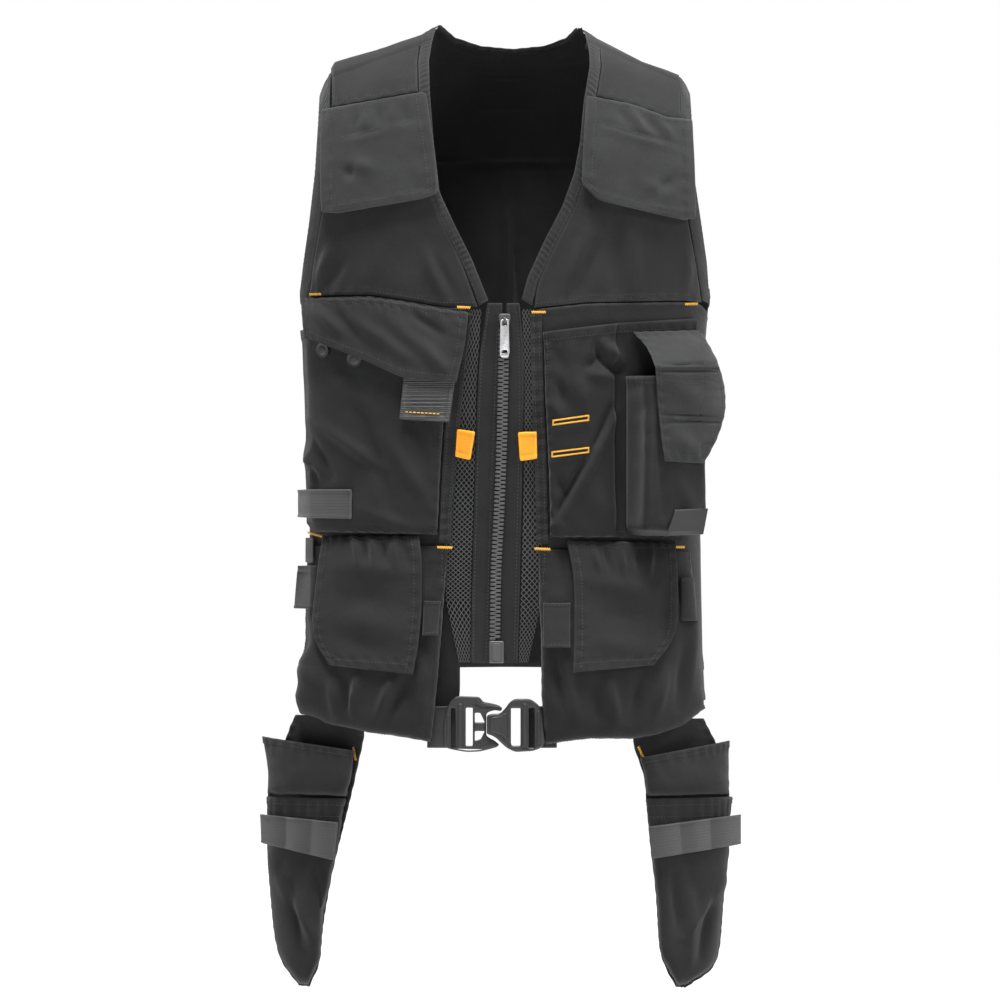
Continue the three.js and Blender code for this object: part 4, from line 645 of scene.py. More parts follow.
def creases(x, z, table):
    """Folds along lines. Columns, in mm: x and z of both ends, width, height (below 0 is a dent)."""
    total = np.zeros(x.shape)
    for x1, z1, x2, z2, width, height in table:
        ax, az, bx, bz = x1 / 1000, z1 / 1000, x2 / 1000, z2 / 1000
        dx, dz = bx - ax, bz - az
        share = np.clip(((x - ax) * dx + (z - az) * dz) / (dx * dx + dz * dz + 1e-12), 0, 1)
        off = np.hypot(x - ax - share * dx, z - az - share * dz)
        fade = 0.35 + 0.65 * np.sin(share * math.pi)
        total += height / 1000 * fade * np.exp(-((off / (width / 1000)) ** 2))
    return total * FOLD_STRENGTH


def waved(seed, high, size, table=()):
    """A gentle waviness, with the folds of a table on top of it."""
    return lambda x, z: high * wrinkles(x, z, seed, size) + creases(x, z, table)


def closed_sheet(grid, wall, turned):
    """Vertices, faces, weave UVs and edge distances of a closed sheet with a rounded rim."""
    rows, columns = grid.shape[:2]
    normals = grid_normals(grid, turned)
    inner = grid - normals * wall
    s, t, off = edge_runs(grid)
    near = np.minimum(np.minimum(off["left"], off["right"]), np.minimum(off["top"], off["bottom"]))
    ring = [(0, j) for j in range(columns)]
    ring += [(i, columns - 1) for i in range(1, rows)]
    ring += [(rows - 1, j) for j in range(columns - 2, -1, -1)]
    ring += [(i, 0) for i in range(rows - 2, 0, -1)]
    rim = []
    for i, j in ring:
        back_i = min(max(i, 1), rows - 2)
        back_j = min(max(j, 1), columns - 2)
        out = grid[i, j] - grid[back_i, back_j]
        out = out / max(np.linalg.norm(out), 1e-9)
        rim.append((grid[i, j] + inner[i, j]) / 2 + out * wall * 0.35)
    points = np.concatenate([grid.reshape(-1, 3), inner.reshape(-1, 3), np.array(rim)])
    n = rows * columns
    flat_uv = np.stack([s, -t], axis=-1).reshape(-1, 2)
    ring_id = [i * columns + j for i, j in ring]
    uv = np.concatenate([flat_uv, flat_uv, flat_uv[ring_id]])
    edge = np.concatenate([near.reshape(-1), near.reshape(-1), np.zeros(len(ring))])
    i, j = np.meshgrid(np.arange(rows - 1), np.arange(columns - 1), indexing="ij")
    a = (i * columns + j).reshape(-1)
    b, c, d = a + columns, a + columns + 1, a + 1
    front = np.stack([a, b, c, d], axis=1) if turned < 0 else np.stack([a, d, c, b], axis=1)
    back = front[:, ::-1] + n
    count = len(ring)
    k = np.arange(count)
    nxt = (k + 1) % count
    top, mid = np.array(ring_id), 2 * n + k
    upper = np.stack([top[k], top[nxt], mid[nxt], mid[k]], axis=1)
    lower = np.stack([mid[k], mid[nxt], top[nxt] + n, top[k] + n], axis=1)
    if turned > 0:
        upper, lower = upper[:, ::-1], lower[:, ::-1]
    return points, np.concatenate([front, back, upper, lower]), uv, edge


def mesh_object(name, points, faces, uv=None, edge=None):
    """A new object at the origin from points and faces, all of one size or a list."""
    mesh = bpy.data.meshes.new(name)
    faces = np.asarray(faces)
    mesh.vertices.add(len(points))
    mesh.vertices.foreach_set("co", np.asarray(points, dtype=np.float32).reshape(-1))
    size = faces.shape[1]
    mesh.loops.add(faces.size)
    mesh.loops.foreach_set("vertex_index", faces.reshape(-1).astype(np.int32))
    mesh.polygons.add(len(faces))
    mesh.polygons.foreach_set("loop_start", np.arange(0, faces.size, size, dtype=np.int32))
    mesh.update(calc_edges=True)
    if uv is not None:
        layer = mesh.uv_layers.new(name="weave")
        layer.data.foreach_set("uv", uv[faces.reshape(-1)].astype(np.float32).reshape(-1))
    if edge is not None:
        attribute = mesh.attributes.new("edge", "FLOAT", "POINT")
        attribute.data.foreach_set("value", edge.astype(np.float32))
    mesh.validate()
    made = bpy.data.objects.new(name, mesh)
    bpy.context.scene.collection.objects.link(made)
    return made


def choose(made):
    bpy.ops.object.select_all(action="DESELECT")
    made.select_set(True)
    bpy.context.view_layer.objects.active = made


def smooth(made, angle=50):
    choose(made)
    bpy.ops.object.shade_smooth_by_angle(angle=math.radians(angle))


def settle(made, look, slot, *nodes):
    """Gives a finished piece its material and its body, and hides the solids that it stands for. Its slot is
    not used.
    """
    made.data.materials.clear()
    made.data.materials.append(look)
    body = "zip_pull" if "zip_pull" in nodes else "vest"
    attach(made, body)
    if nodes:
        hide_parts(*nodes)
    return made


def sewn(name, grid, wall, turned, look, slot, nodes):
    """A piece of cloth from its outer grid."""
    points, faces, uv, edge = closed_sheet(grid, wall, turned)
    made = mesh_object(name, points, faces, uv, edge)
    smooth(made, 60)
    settle(made, look, slot, *nodes)
    a = grid[:-1, :-1]
    area = np.linalg.norm(np.cross(grid[1:, :-1] - a, grid[:-1, 1:] - a), axis=-1).sum()
    return made


def hemmed(grid, turned, hems, fold=None, hem_rise=0.0007, pucker=0.0):
    """Moves a grid off itself: doubled hems, the dip of each seam, its puckers, and folds."""
    normals = grid_normals(grid, turned)
    s, t, off = edge_runs(grid)
    rise = np.zeros(s.shape)
    for side, (band, *seams) in hems.items():
        far = off[side]
        along = t if side in ("left", "right") else s
        if band:
            rise = np.maximum(rise, hem_rise * np.clip((band - far) / 0.001 + 0.5, 0, 1))
        for seam in seams:
            gather = 0.55 + 0.45 * np.sin(along / 0.0045 + 1.7 * np.sin(along / 0.019))
            rise = rise - 0.0006 * np.exp(-(((far - seam) / 0.0013) ** 2)) * gather
            if pucker:
                wave = np.sin(along / 0.0021 + 2.2 * np.sin(along / 0.017))
                rise = rise + pucker * wave * np.exp(-(((far - seam) / 0.006) ** 2))
    if fold is not None:
        near = np.minimum(np.minimum(off["left"], off["right"]), np.minimum(off["top"], off["bottom"]))
        rise = rise + fold(grid[..., 0], grid[..., 2]) * (0.25 + 0.75 * np.clip(near / 0.012, 0, 1))
    return grid + normals * rise[..., None]


def seam_path(grid, turned, side, distance, start=0.0, end=1.0):
    """Points and normals of a seam that follows one edge of a grid at a distance from it."""
    work = grid if side in ("left", "right") else grid.transpose(1, 0, 2)
    normals = grid_normals(grid, turned)
    normals = normals if side in ("left", "right") else normals.transpose(1, 0, 2)
    run = np.concatenate(
        [np.zeros((work.shape[0], 1)), np.cumsum(np.linalg.norm(np.diff(work, axis=1), axis=2), axis=1)],
        axis=1,
    )
    points, outs = [], []
    for k in range(work.shape[0]):
        at = distance if side in ("left", "top") else run[k, -1] - distance
        points.append([np.interp(at, run[k], work[k, :, c]) for c in range(3)])
        outs.append([np.interp(at, run[k], normals[k, :, c]) for c in range(3)])
    low, high = int(start * len(points)), int(end * len(points))
    return np.array(points[low:high]), np.array(outs[low:high])


STITCH = np.array(
    [[-0.5, 0, -0.1], [0.5, 0, -0.1], [-0.25, -0.5, 0.1], [0.25, -0.5, 0.1], [0.25, 0.5, 0.1],
        [-0.25, 0.5, 0.1],
     [0, 0, 0.5]]
)
STITCH_FACES = [(0, 2, 6), (2, 3, 6), (3, 1, 6), (1, 4, 6), (4, 5, 6), (5, 0, 6),
                (0, 3, 2), (0, 1, 3), (1, 0, 4), (0, 5, 4)]


def stitch_run(paths, length=0.0026, gap=0.0011, width=0.0008, height=0.0006, lift=0.0):
    """Vertices and faces of a row of small thread stitches along each path."""
    points, faces = [], []
    for path, outs in paths:
        total = path_length(path)
        run = np.concatenate([[0], np.cumsum(np.linalg.norm(np.diff(path, axis=0), axis=1))])
        count = int(total / (length + gap))
        for k in range(count):
            at = (k + 0.5) * (length + gap)
            here = np.array([np.interp(at, run, path[:, c]) for c in range(3)])
            ahead = np.array([np.interp(at + 0.0008, run, path[:, c]) for c in range(3)])
            out = np.array([np.interp(at, run, outs[:, c]) for c in range(3)])
            along = unit(ahead - here)
            if not np.isfinite(along).all() or np.linalg.norm(along) < 0.5:
                continue
            side = unit(np.cross(out, along))
            base = len(points)
            for px, py, pz in STITCH:
                points.append(here + along * px * length + side * py * width + out * (pz * height * 2 + lift))
            faces += [tuple(base + q for q in f) for f in STITCH_FACES]
    return points, faces


def stitches(name, paths, look, **sizes):
    """One joined mesh of all the stitches of one seam."""
    points, faces = stitch_run(paths, **sizes)
    if not points:
        raise RuntimeError(name + " has no stitches")
    made = mesh_object(name, np.array(points), np.array(faces))
    choose(made)
    bpy.ops.object.mode_set(mode="EDIT")
    bpy.ops.mesh.select_all(action="SELECT")
    bpy.ops.mesh.normals_make_consistent(inside=False)
    bpy.ops.object.mode_set(mode="OBJECT")
    smooth(made, 70)
    return settle(made, look, "cloth_dark")


def seat_matrix(across, down, lift):
    """Where a piece made in the XY plane faces forward at a point of the vest."""
    p = drape(np.array([across * HALF_WIDTH]), np.array([-down * LENGTH]), np.array([lift]), -1)
    z = Vector(outward(p)[0])
    y = Vector((0, 0, 1)) - z * z.z
    y.normalize()
    x = y.cross(z)
    turn = Matrix((x, y, z)).transposed().to_4x4()
    return Matrix.Translation(Vector(p[0])) @ turn


def moulded(name, outline, holes, thickness, bevel, matrix):
    """A flat moulded plate with rounded edges and cut windows, put in its place."""
    curve = bpy.data.curves.new(name, "CURVE")
    curve.dimensions = "2D"
    curve.fill_mode = "BOTH"
    curve.extrude = thickness / 2 - bevel
    curve.bevel_depth = bevel
    curve.bevel_resolution = 2
    curve.offset = -bevel
    for loop in [outline, *holes]:
        spline = curve.splines.new("POLY")
        spline.points.add(len(loop) - 1)
        for point, (x, y) in zip(spline.points, loop):
            point.co = (x, y, 0, 1)
        spline.use_cyclic_u = True
    made = bpy.data.objects.new(name, curve)
    bpy.context.scene.collection.objects.link(made)
    choose(made)
    bpy.ops.object.convert(target="MESH")
    made = bpy.context.view_layer.objects.active
    made.name = name
    bpy.ops.object.mode_set(mode="EDIT")
    bpy.ops.mesh.select_all(action="SELECT")
    bpy.ops.mesh.remove_doubles(threshold=0.00001)
    bpy.ops.mesh.normals_make_consistent(inside=False)
    bpy.ops.object.mode_set(mode="OBJECT")
    made.data.transform(matrix @ Matrix.Translation((0, 0, thickness / 2)))
    smooth(made, 40)
    return made


def join(name, pieces):
    """Joins finished meshes into one object."""
    bpy.ops.object.select_all(action="DESELECT")
    for piece in pieces:
        piece.select_set(True)
    bpy.context.view_layer.objects.active = pieces[0]
    if len(pieces) > 1:
        bpy.ops.object.join()
    made = bpy.context.view_layer.objects.active
    made.name = name
    made.data.name = name
    return made


def rounded(points, radius=0.35, steps=3):
    """Rounds the corners of an outline given in the plane."""
    out = []
    count = len(points)
    for k in range(count):
        a, b, c = (np.array(points[(k + d) % count], dtype=float) for d in (-1, 0, 1))
        cut = min(radius, 0.45 * np.linalg.norm(a - b), 0.45 * np.linalg.norm(c - b))
        p, q = b + unit(a - b) * cut, b + unit(c - b) * cut
        for t in np.linspace(0, 1, steps + 1):
            out.append(tuple((1 - t) ** 2 * p + 2 * t * (1 - t) * b + t * t * q))
    return out


class Value:
    """An output of a shader node. Sums and products of it add Math nodes."""

    def __init__(self, finish, socket):
        self.finish = finish
        self.socket = socket

    def math(self, operation, *others):
        return self.finish.make("ShaderNodeMath", {"operation": operation}, [self, *others])

    def __add__(self, other):
        return self.math("ADD", other)

    __radd__ = __add__

    def __rsub__(self, other):
        return self.finish.make("ShaderNodeMath", {"operation": "SUBTRACT"}, [other, self])

    def __mul__(self, other):
        return self.math("MULTIPLY", other)

    __rmul__ = __mul__

    def sine(self):
        return self.math("SINE")

    def absolute(self):
        return self.math("ABSOLUTE")


class Finish:
    """A material under construction."""

    def __init__(self, name):
        self.material = bpy.data.materials.new(name)
        self.material.use_nodes = True
        self.nodes = self.material.node_tree.nodes
        self.links = self.material.node_tree.links
        self.shader = self.nodes["Principled BSDF"]

    def put(self, socket, value):
        if isinstance(value, Value):
            self.links.new(value.socket, socket)
        elif isinstance(value, bpy.types.NodeSocket):
            self.links.new(value, socket)
        else:
            socket.default_value = value

    def make(self, kind, settings=None, inputs=(), output=0):
        node = self.nodes.new(kind)
        for key, value in (settings or {}).items():
            if key == "stops":
                ramp = node.color_ramp
                while len(ramp.elements) < len(value):
                    ramp.elements.new(0.5)
                for element, (position, colour) in zip(ramp.elements, value):
                    element.position = position
                    element.color = colour
            else:
                setattr(node, key, value)
        pairs = inputs.items() if isinstance(inputs, dict) else enumerate(inputs)
        for key, value in pairs:
            self.put(node.inputs[key], value)
        return Value(self, node.outputs[output])

    def colours(self, a, b, factor):
        """A mix of two colours."""
        settings = {"data_type": "RGBA"}
        return self.make("ShaderNodeMix", settings, {0: factor, 6: a, 7: b}, 2)

    def place(self):
        """Where a point is on the object, in metres."""
        return self.make("ShaderNodeTexCoord", output=3)

    def weave(self):
        """Distances along the piece's own cloth, in metres."""
        return self.make("ShaderNodeUVMap", {"uv_map": "weave"})

    def split(self, vector):
        node = self.make("ShaderNodeSeparateXYZ", inputs=[vector])
        outputs = node.socket.node.outputs
        return Value(self, outputs[0]), Value(self, outputs[1]), Value(self, outputs[2])

    def noise(self, vector, scale, detail=3.0, rough=0.55):
        inputs = {"Vector": vector, "Scale": scale, "Detail": detail, "Roughness": rough}
        return self.make("ShaderNodeTexNoise", {}, inputs)

    def ramp(self, value, low, high):
        settings = {"clamp": True}
        inputs = {"Value": value, "From Min": low, "From Max": high}
        return self.make("ShaderNodeMapRange", settings, inputs)

    def edge(self):
        return self.make("ShaderNodeAttribute", {"attribute_name": "edge"}, output=2)

    def bump(self, height, distance, strength=1.0, normal=None):
        inputs = {"Height": height, "Distance": distance, "Strength": strength}
        if normal is not None:
            inputs["Normal"] = normal
        return self.make("ShaderNodeBump", {}, inputs)

    def set(self, **values):
        for key, value in values.items():
            self.put(self.shader.inputs[key.replace("_", " ")], value)
        return self.material


def shade(colour, factor):
    return (colour[0] * factor, colour[1] * factor, colour[2] * factor, 1.0)


def woven(name, colour, pitch=0.0011, sheen=0.25, depth=0.00022, wear=1.35, flat=False):
    """Plain-woven cloth: threads over and under, faded patches, lint and paler worn edges."""
    f = Finish(name)
    place = f.place()
    if flat:
        x, _, z = f.split(place)
    else:
        x, z, _ = f.split(f.weave())
    u = (x * (math.pi / pitch)).sine()
    v = (z * (math.pi / pitch)).sine()
    over = (u * v * 0.5 + 0.5)
    threads = u.absolute() * over + v.absolute() * (1 - over)
    patches = f.noise(place, 14.0, 4.0)
    slubs = f.noise(place, 260.0, 2.0)
    grain = f.noise(place, 900.0, 2.0, 0.7)
    fade = f.ramp(patches, 0.32, 0.72)
    tone = f.colours(shade(colour, 0.78), shade(colour, 1.22), fade)
    tone = f.colours(tone, shade(colour, 1.75), f.ramp(grain, 0.52, 0.85) * 0.55)
    tone = f.colours(tone, shade(colour, 0.45), (1 - threads) * 0.38)
    tone = f.colours(tone, shade(colour, 1.5), f.ramp(slubs, 0.6, 0.8) * 0.3)
    if not flat:
        worn = f.ramp(f.edge(), 0.0022, 0.0) * f.ramp(patches, 0.35, 0.6)
        tone = f.colours(tone, shade(colour, wear * 1.6), worn * 0.5)
    rough = f.ramp(slubs, 0.2, 0.9) * 0.14 + 0.8
    low = f.bump(f.noise(place, 55.0, 3.0), 0.0012, 0.5)
    mid = f.bump(grain, 0.0004, 0.5, low)
    normal = f.bump(threads, depth, 0.8, mid)
    f.set(Base_Color=tone, Roughness=rough, Normal=normal)
    return f.set(Sheen_Weight=sheen * 0.35, Sheen_Roughness=0.5, Specular_IOR_Level=0.12)


def ribbed(name, colour, pitch=0.0017, sheen=0.2):
    """Narrow webbing: chevron ribs along it, a firmer edge, and dull wear."""
    f = Finish(name)
    place = f.place()
    x, z, _ = f.split(f.weave())
    zig = (z * (math.pi * 2 / 0.006)).sine().absolute() * 0.0022
    ribs = ((x + zig) * (math.pi * 2 / pitch)).sine() * 0.5 + 0.5
    picks = (z * (math.pi * 2 / 0.0011)).sine() * 0.5 + 0.5
    body = ribs * 0.65 + picks * 0.35
    patches = f.noise(place, 30.0, 3.0)
    tone = f.colours(shade(colour, 0.62), shade(colour, 1.3), body)
    tone = f.colours(tone, shade(colour, 1.5), f.ramp(patches, 0.5, 0.75) * 0.3)
    worn = f.ramp(f.edge(), 0.0016, 0.0)
    tone = f.colours(tone, shade(colour, 1.7), worn * 0.4)
    normal = f.bump(body, 0.0004, 0.9, f.bump(f.noise(place, 600.0), 0.0003, 0.4))
    f.set(Base_Color=tone, Roughness=f.ramp(patches, 0.2, 0.8) * 0.15 + 0.68, Normal=normal)
    return f.set(Sheen_Weight=sheen, Specular_IOR_Level=0.35)


def plastic(name, colour, rough=0.42, grain=0.00012):
    """Moulded plastic: fine spark grain, handling scuffs and a soft gloss."""
    f = Finish(name)
    place = f.place()
    spark = f.noise(place, 2600.0, 2.0, 0.6)
    scuff = f.noise(place, 120.0, 6.0, 0.75)
    rub = f.ramp(scuff, 0.56, 0.7)
    tone = f.colours(shade(colour, 1.0), shade(colour, 1.9), rub * 0.35)
    normal = f.bump(spark, grain, 0.5, f.bump(f.noise(place, 90.0), 0.0003, 0.3))
    return f.set(Base_Color=tone, Roughness=f.ramp(scuff, 0.3, 0.8) * 0.22 + rough, Normal=normal)


def brushed(name, colour):
    """Cast metal with a brushed face, small dings and darker handling marks."""
    f = Finish(name)
    place = f.place()
    x, y, z = f.split(place)
    grainy = f.make("ShaderNodeCombineXYZ", inputs=[x * 2600.0, y * 300.0, z * 60.0])
    lines = f.noise(grainy, 1.0, 3.0, 0.6)
    dings = f.noise(place, 500.0, 3.0)
    tone = f.colours(shade(colour, 0.72), shade(colour, 1.1), lines)
    tone = f.colours(tone, shade(colour, 0.45), f.ramp(dings, 0.62, 0.75) * 0.5)
    normal = f.bump(lines, 0.00015, 0.5, f.bump(dings, 0.0002, 0.35))
    f.set(Base_Color=tone, Roughness=f.ramp(dings, 0.3, 0.7) * 0.2 + 0.24, Normal=normal)
    return f.set(Metallic=1.0)


def rubber(name, colour):
    """Soft moulded patch: fine level ribs and dust in the grooves."""
    f = Finish(name)
    place = f.place()
    _, _, z = f.split(place)
    ribs = (z * (math.pi * 2 / 0.0019)).sine() * 0.5 + 0.5
    dust = f.noise(place, 70.0, 4.0)
    tone = f.colours(shade(colour, 0.6), shade(colour, 1.4), ribs)
    tone = f.colours(tone, shade(colour, 2.4), f.ramp(dust, 0.55, 0.75) * 0.3)
    normal = f.bump(ribs, 0.0005, 0.8, f.bump(f.noise(place, 1200.0), 0.0002, 0.3))
    return f.set(Base_Color=tone, Roughness=f.ramp(dust, 0.3, 0.7) * 0.2 + 0.5, Normal=normal)


def thread(name, colour):
    """Twisted sewing thread with a slight shine."""
    f = Finish(name)
    place = f.place()
    x, y, z = f.split(place)
    twist = ((x + y + z) * (math.pi * 2 / 0.0007)).sine() * 0.5 + 0.5
    tone = f.colours(shade(colour, 0.7), shade(colour, 1.2), twist)
    tone = f.colours(tone, shade(colour, 0.6), f.ramp(f.noise(place, 80.0), 0.5, 0.75) * 0.5)
    f.set(Base_Color=tone, Normal=f.bump(twist, 0.0002, 0.7))
    return f.set(Roughness=0.62, Specular_IOR_Level=0.4)


def floor_finish(colour):
    """A pale studio floor with the faintest mottling."""
    f = Finish("studio_floor")
    mottle = f.noise(f.place(), 1.5, 3.0)
    tone = f.colours(shade(colour, 0.985), shade(colour, 1.0), mottle)
    return f.set(Base_Color=tone, Roughness=f.ramp(mottle, 0.0, 1.0) * 0.1 + 0.8)


FINISHES = {}


def finish(name):
    """The vest's finishes, each made once from the colours in the panel."""
    if name in FINISHES:
        return FINISHES[name]
    c = bpy.context.scene.vest_colours
    makers = {
        "shell": lambda: woven("shell_cloth", c.shell),
        "grey": lambda: woven("flap_cloth", c.flaps, sheen=0.35),
        "lining": lambda: woven("lining_cloth", c.lining, pitch=0.0009, sheen=0.1),
        "binding": lambda: woven("binding_cloth", c.binding, pitch=0.0008, sheen=0.3),
        "pocket": lambda: woven("pocket_cloth", c.pockets, pitch=0.0012, sheen=0.25),
        "net": lambda: plastic("net_thread", c.net, 0.55),
        "web": lambda: ribbed("grey_webbing", c.webbing),
        "belt": lambda: ribbed("belt_webbing", c.belt, 0.0021),
        "yellow": lambda: ribbed("yellow_tape", c.yellow, 0.0012, 0.1),
        "yellow_thread": lambda: thread("yellow_thread", c.yellow_thread),
        "dark_thread": lambda: thread("dark_thread", c.dark_thread),
        "plastic": lambda: plastic("moulded_plastic", c.plastic),
        "teeth": lambda: plastic("zip_plastic", c.teeth, 0.36),
        "snap": lambda: plastic("stud_plastic", c.snap, 0.45),
        "metal": lambda: brushed("pull_metal", c.metal),
        "rubber": lambda: rubber("plaque_rubber", c.plaque),
        "tape": lambda: woven("zip_tape_cloth", c.shell, pitch=0.0007, sheen=0.1),
    }
    FINISHES[name] = makers[name]()
    return FINISHES[name]


class VestColours(bpy.types.PropertyGroup):
    """Colours of the vest's cloths and fittings."""

    shell: bpy.props.FloatVectorProperty(
        name="Shell cloth", description="Body cloth", subtype="COLOR", default=(0.0172, 0.0174, 0.0179)
    )
    flaps: bpy.props.FloatVectorProperty(
        name="Flap cloth", description="Shoulder and phone flaps", subtype="COLOR",
        default=(0.021, 0.0213, 0.0218)
    )
    pockets: bpy.props.FloatVectorProperty(
        name="Pocket cloth", description="Pockets and pouches", subtype="COLOR",
        default=(0.0135, 0.0137, 0.0141)
    )
    lining: bpy.props.FloatVectorProperty(
        name="Lining", description="Inside of the back", subtype="COLOR", default=(0.011, 0.011, 0.0115)
    )
    binding: bpy.props.FloatVectorProperty(
        name="Binding", description="Neck and armhole bindings", subtype="COLOR",
        default=(0.02, 0.0203, 0.0208)
    )
    net: bpy.props.FloatVectorProperty(
        name="Net", description="Net beside the zip", subtype="COLOR", default=(0.045, 0.0453, 0.046)
    )
    webbing: bpy.props.FloatVectorProperty(
        name="Webbing", description="Loops and straps", subtype="COLOR", default=(0.03, 0.0303, 0.0307)
    )
    belt: bpy.props.FloatVectorProperty(
        name="Belt", description="Belt webbing", subtype="COLOR", default=(0.022, 0.022, 0.023)
    )
    yellow: bpy.props.FloatVectorProperty(
        name="Tabs", description="Folded yellow tabs", subtype="COLOR", default=(0.72, 0.27, 0.004)
    )
    yellow_thread: bpy.props.FloatVectorProperty(
        name="Bar tacks", description="Yellow thread", subtype="COLOR", default=(0.72, 0.36, 0.03)
    )
    dark_thread: bpy.props.FloatVectorProperty(
        name="Thread", description="Seam thread", subtype="COLOR", default=(0.021, 0.021, 0.0215)
    )
    plastic: bpy.props.FloatVectorProperty(
        name="Buckle", description="Moulded plastic", subtype="COLOR", default=(0.011, 0.011, 0.0115)
    )
    teeth: bpy.props.FloatVectorProperty(
        name="Zip teeth", description="Moulded teeth", subtype="COLOR", default=(0.05, 0.05, 0.051)
    )
    snap: bpy.props.FloatVectorProperty(
        name="Studs", description="Press studs", subtype="COLOR", default=(0.016, 0.0162, 0.0165)
    )
    metal: bpy.props.FloatVectorProperty(
        name="Zip pull", description="Metal of the pull", subtype="COLOR", default=(0.56, 0.56, 0.57)
    )
    plaque: bpy.props.FloatVectorProperty(
        name="Plaque", description="Soft patch under the flap", subtype="COLOR",
        default=(0.017, 0.017, 0.0177)
    )
    floor: bpy.props.FloatVectorProperty(
        name="Floor", description="Studio floor", subtype="COLOR", default=(0.9, 0.9, 0.9)
    )


class VestSizes(bpy.types.PropertyGroup):
    """Sizes of the finer work."""

    stitch: bpy.props.FloatProperty(
        name="Stitch", description="Length of a stitch", default=0.0026, unit="LENGTH"
    )
    pocket_fold: bpy.props.FloatProperty(
        name="Pocket folds", description="Height of the pockets' folds", default=0.0016, unit="LENGTH"
    )
    bag_fold: bpy.props.FloatProperty(
        name="Pouch folds", description="Height of the pouches' folds", default=0.0026, unit="LENGTH"
    )
    pucker: bpy.props.FloatProperty(
        name="Puckers", description="Height of the puckers beside a seam", default=0.0005, unit="LENGTH"
    )
    tooth_pitch: bpy.props.FloatProperty(
        name="Tooth pitch", description="From one zip tooth to the next", default=0.0041, unit="LENGTH"
    )
    pad_pressure: bpy.props.FloatProperty(
        name="Pad pressure", description="Filling of the shoulder flaps", default=3.0
    )
    floor_drop: bpy.props.FloatProperty(
        name="Floor below", description="From the vest's lowest point to the floor", default=0.34,
        unit="LENGTH"
    )


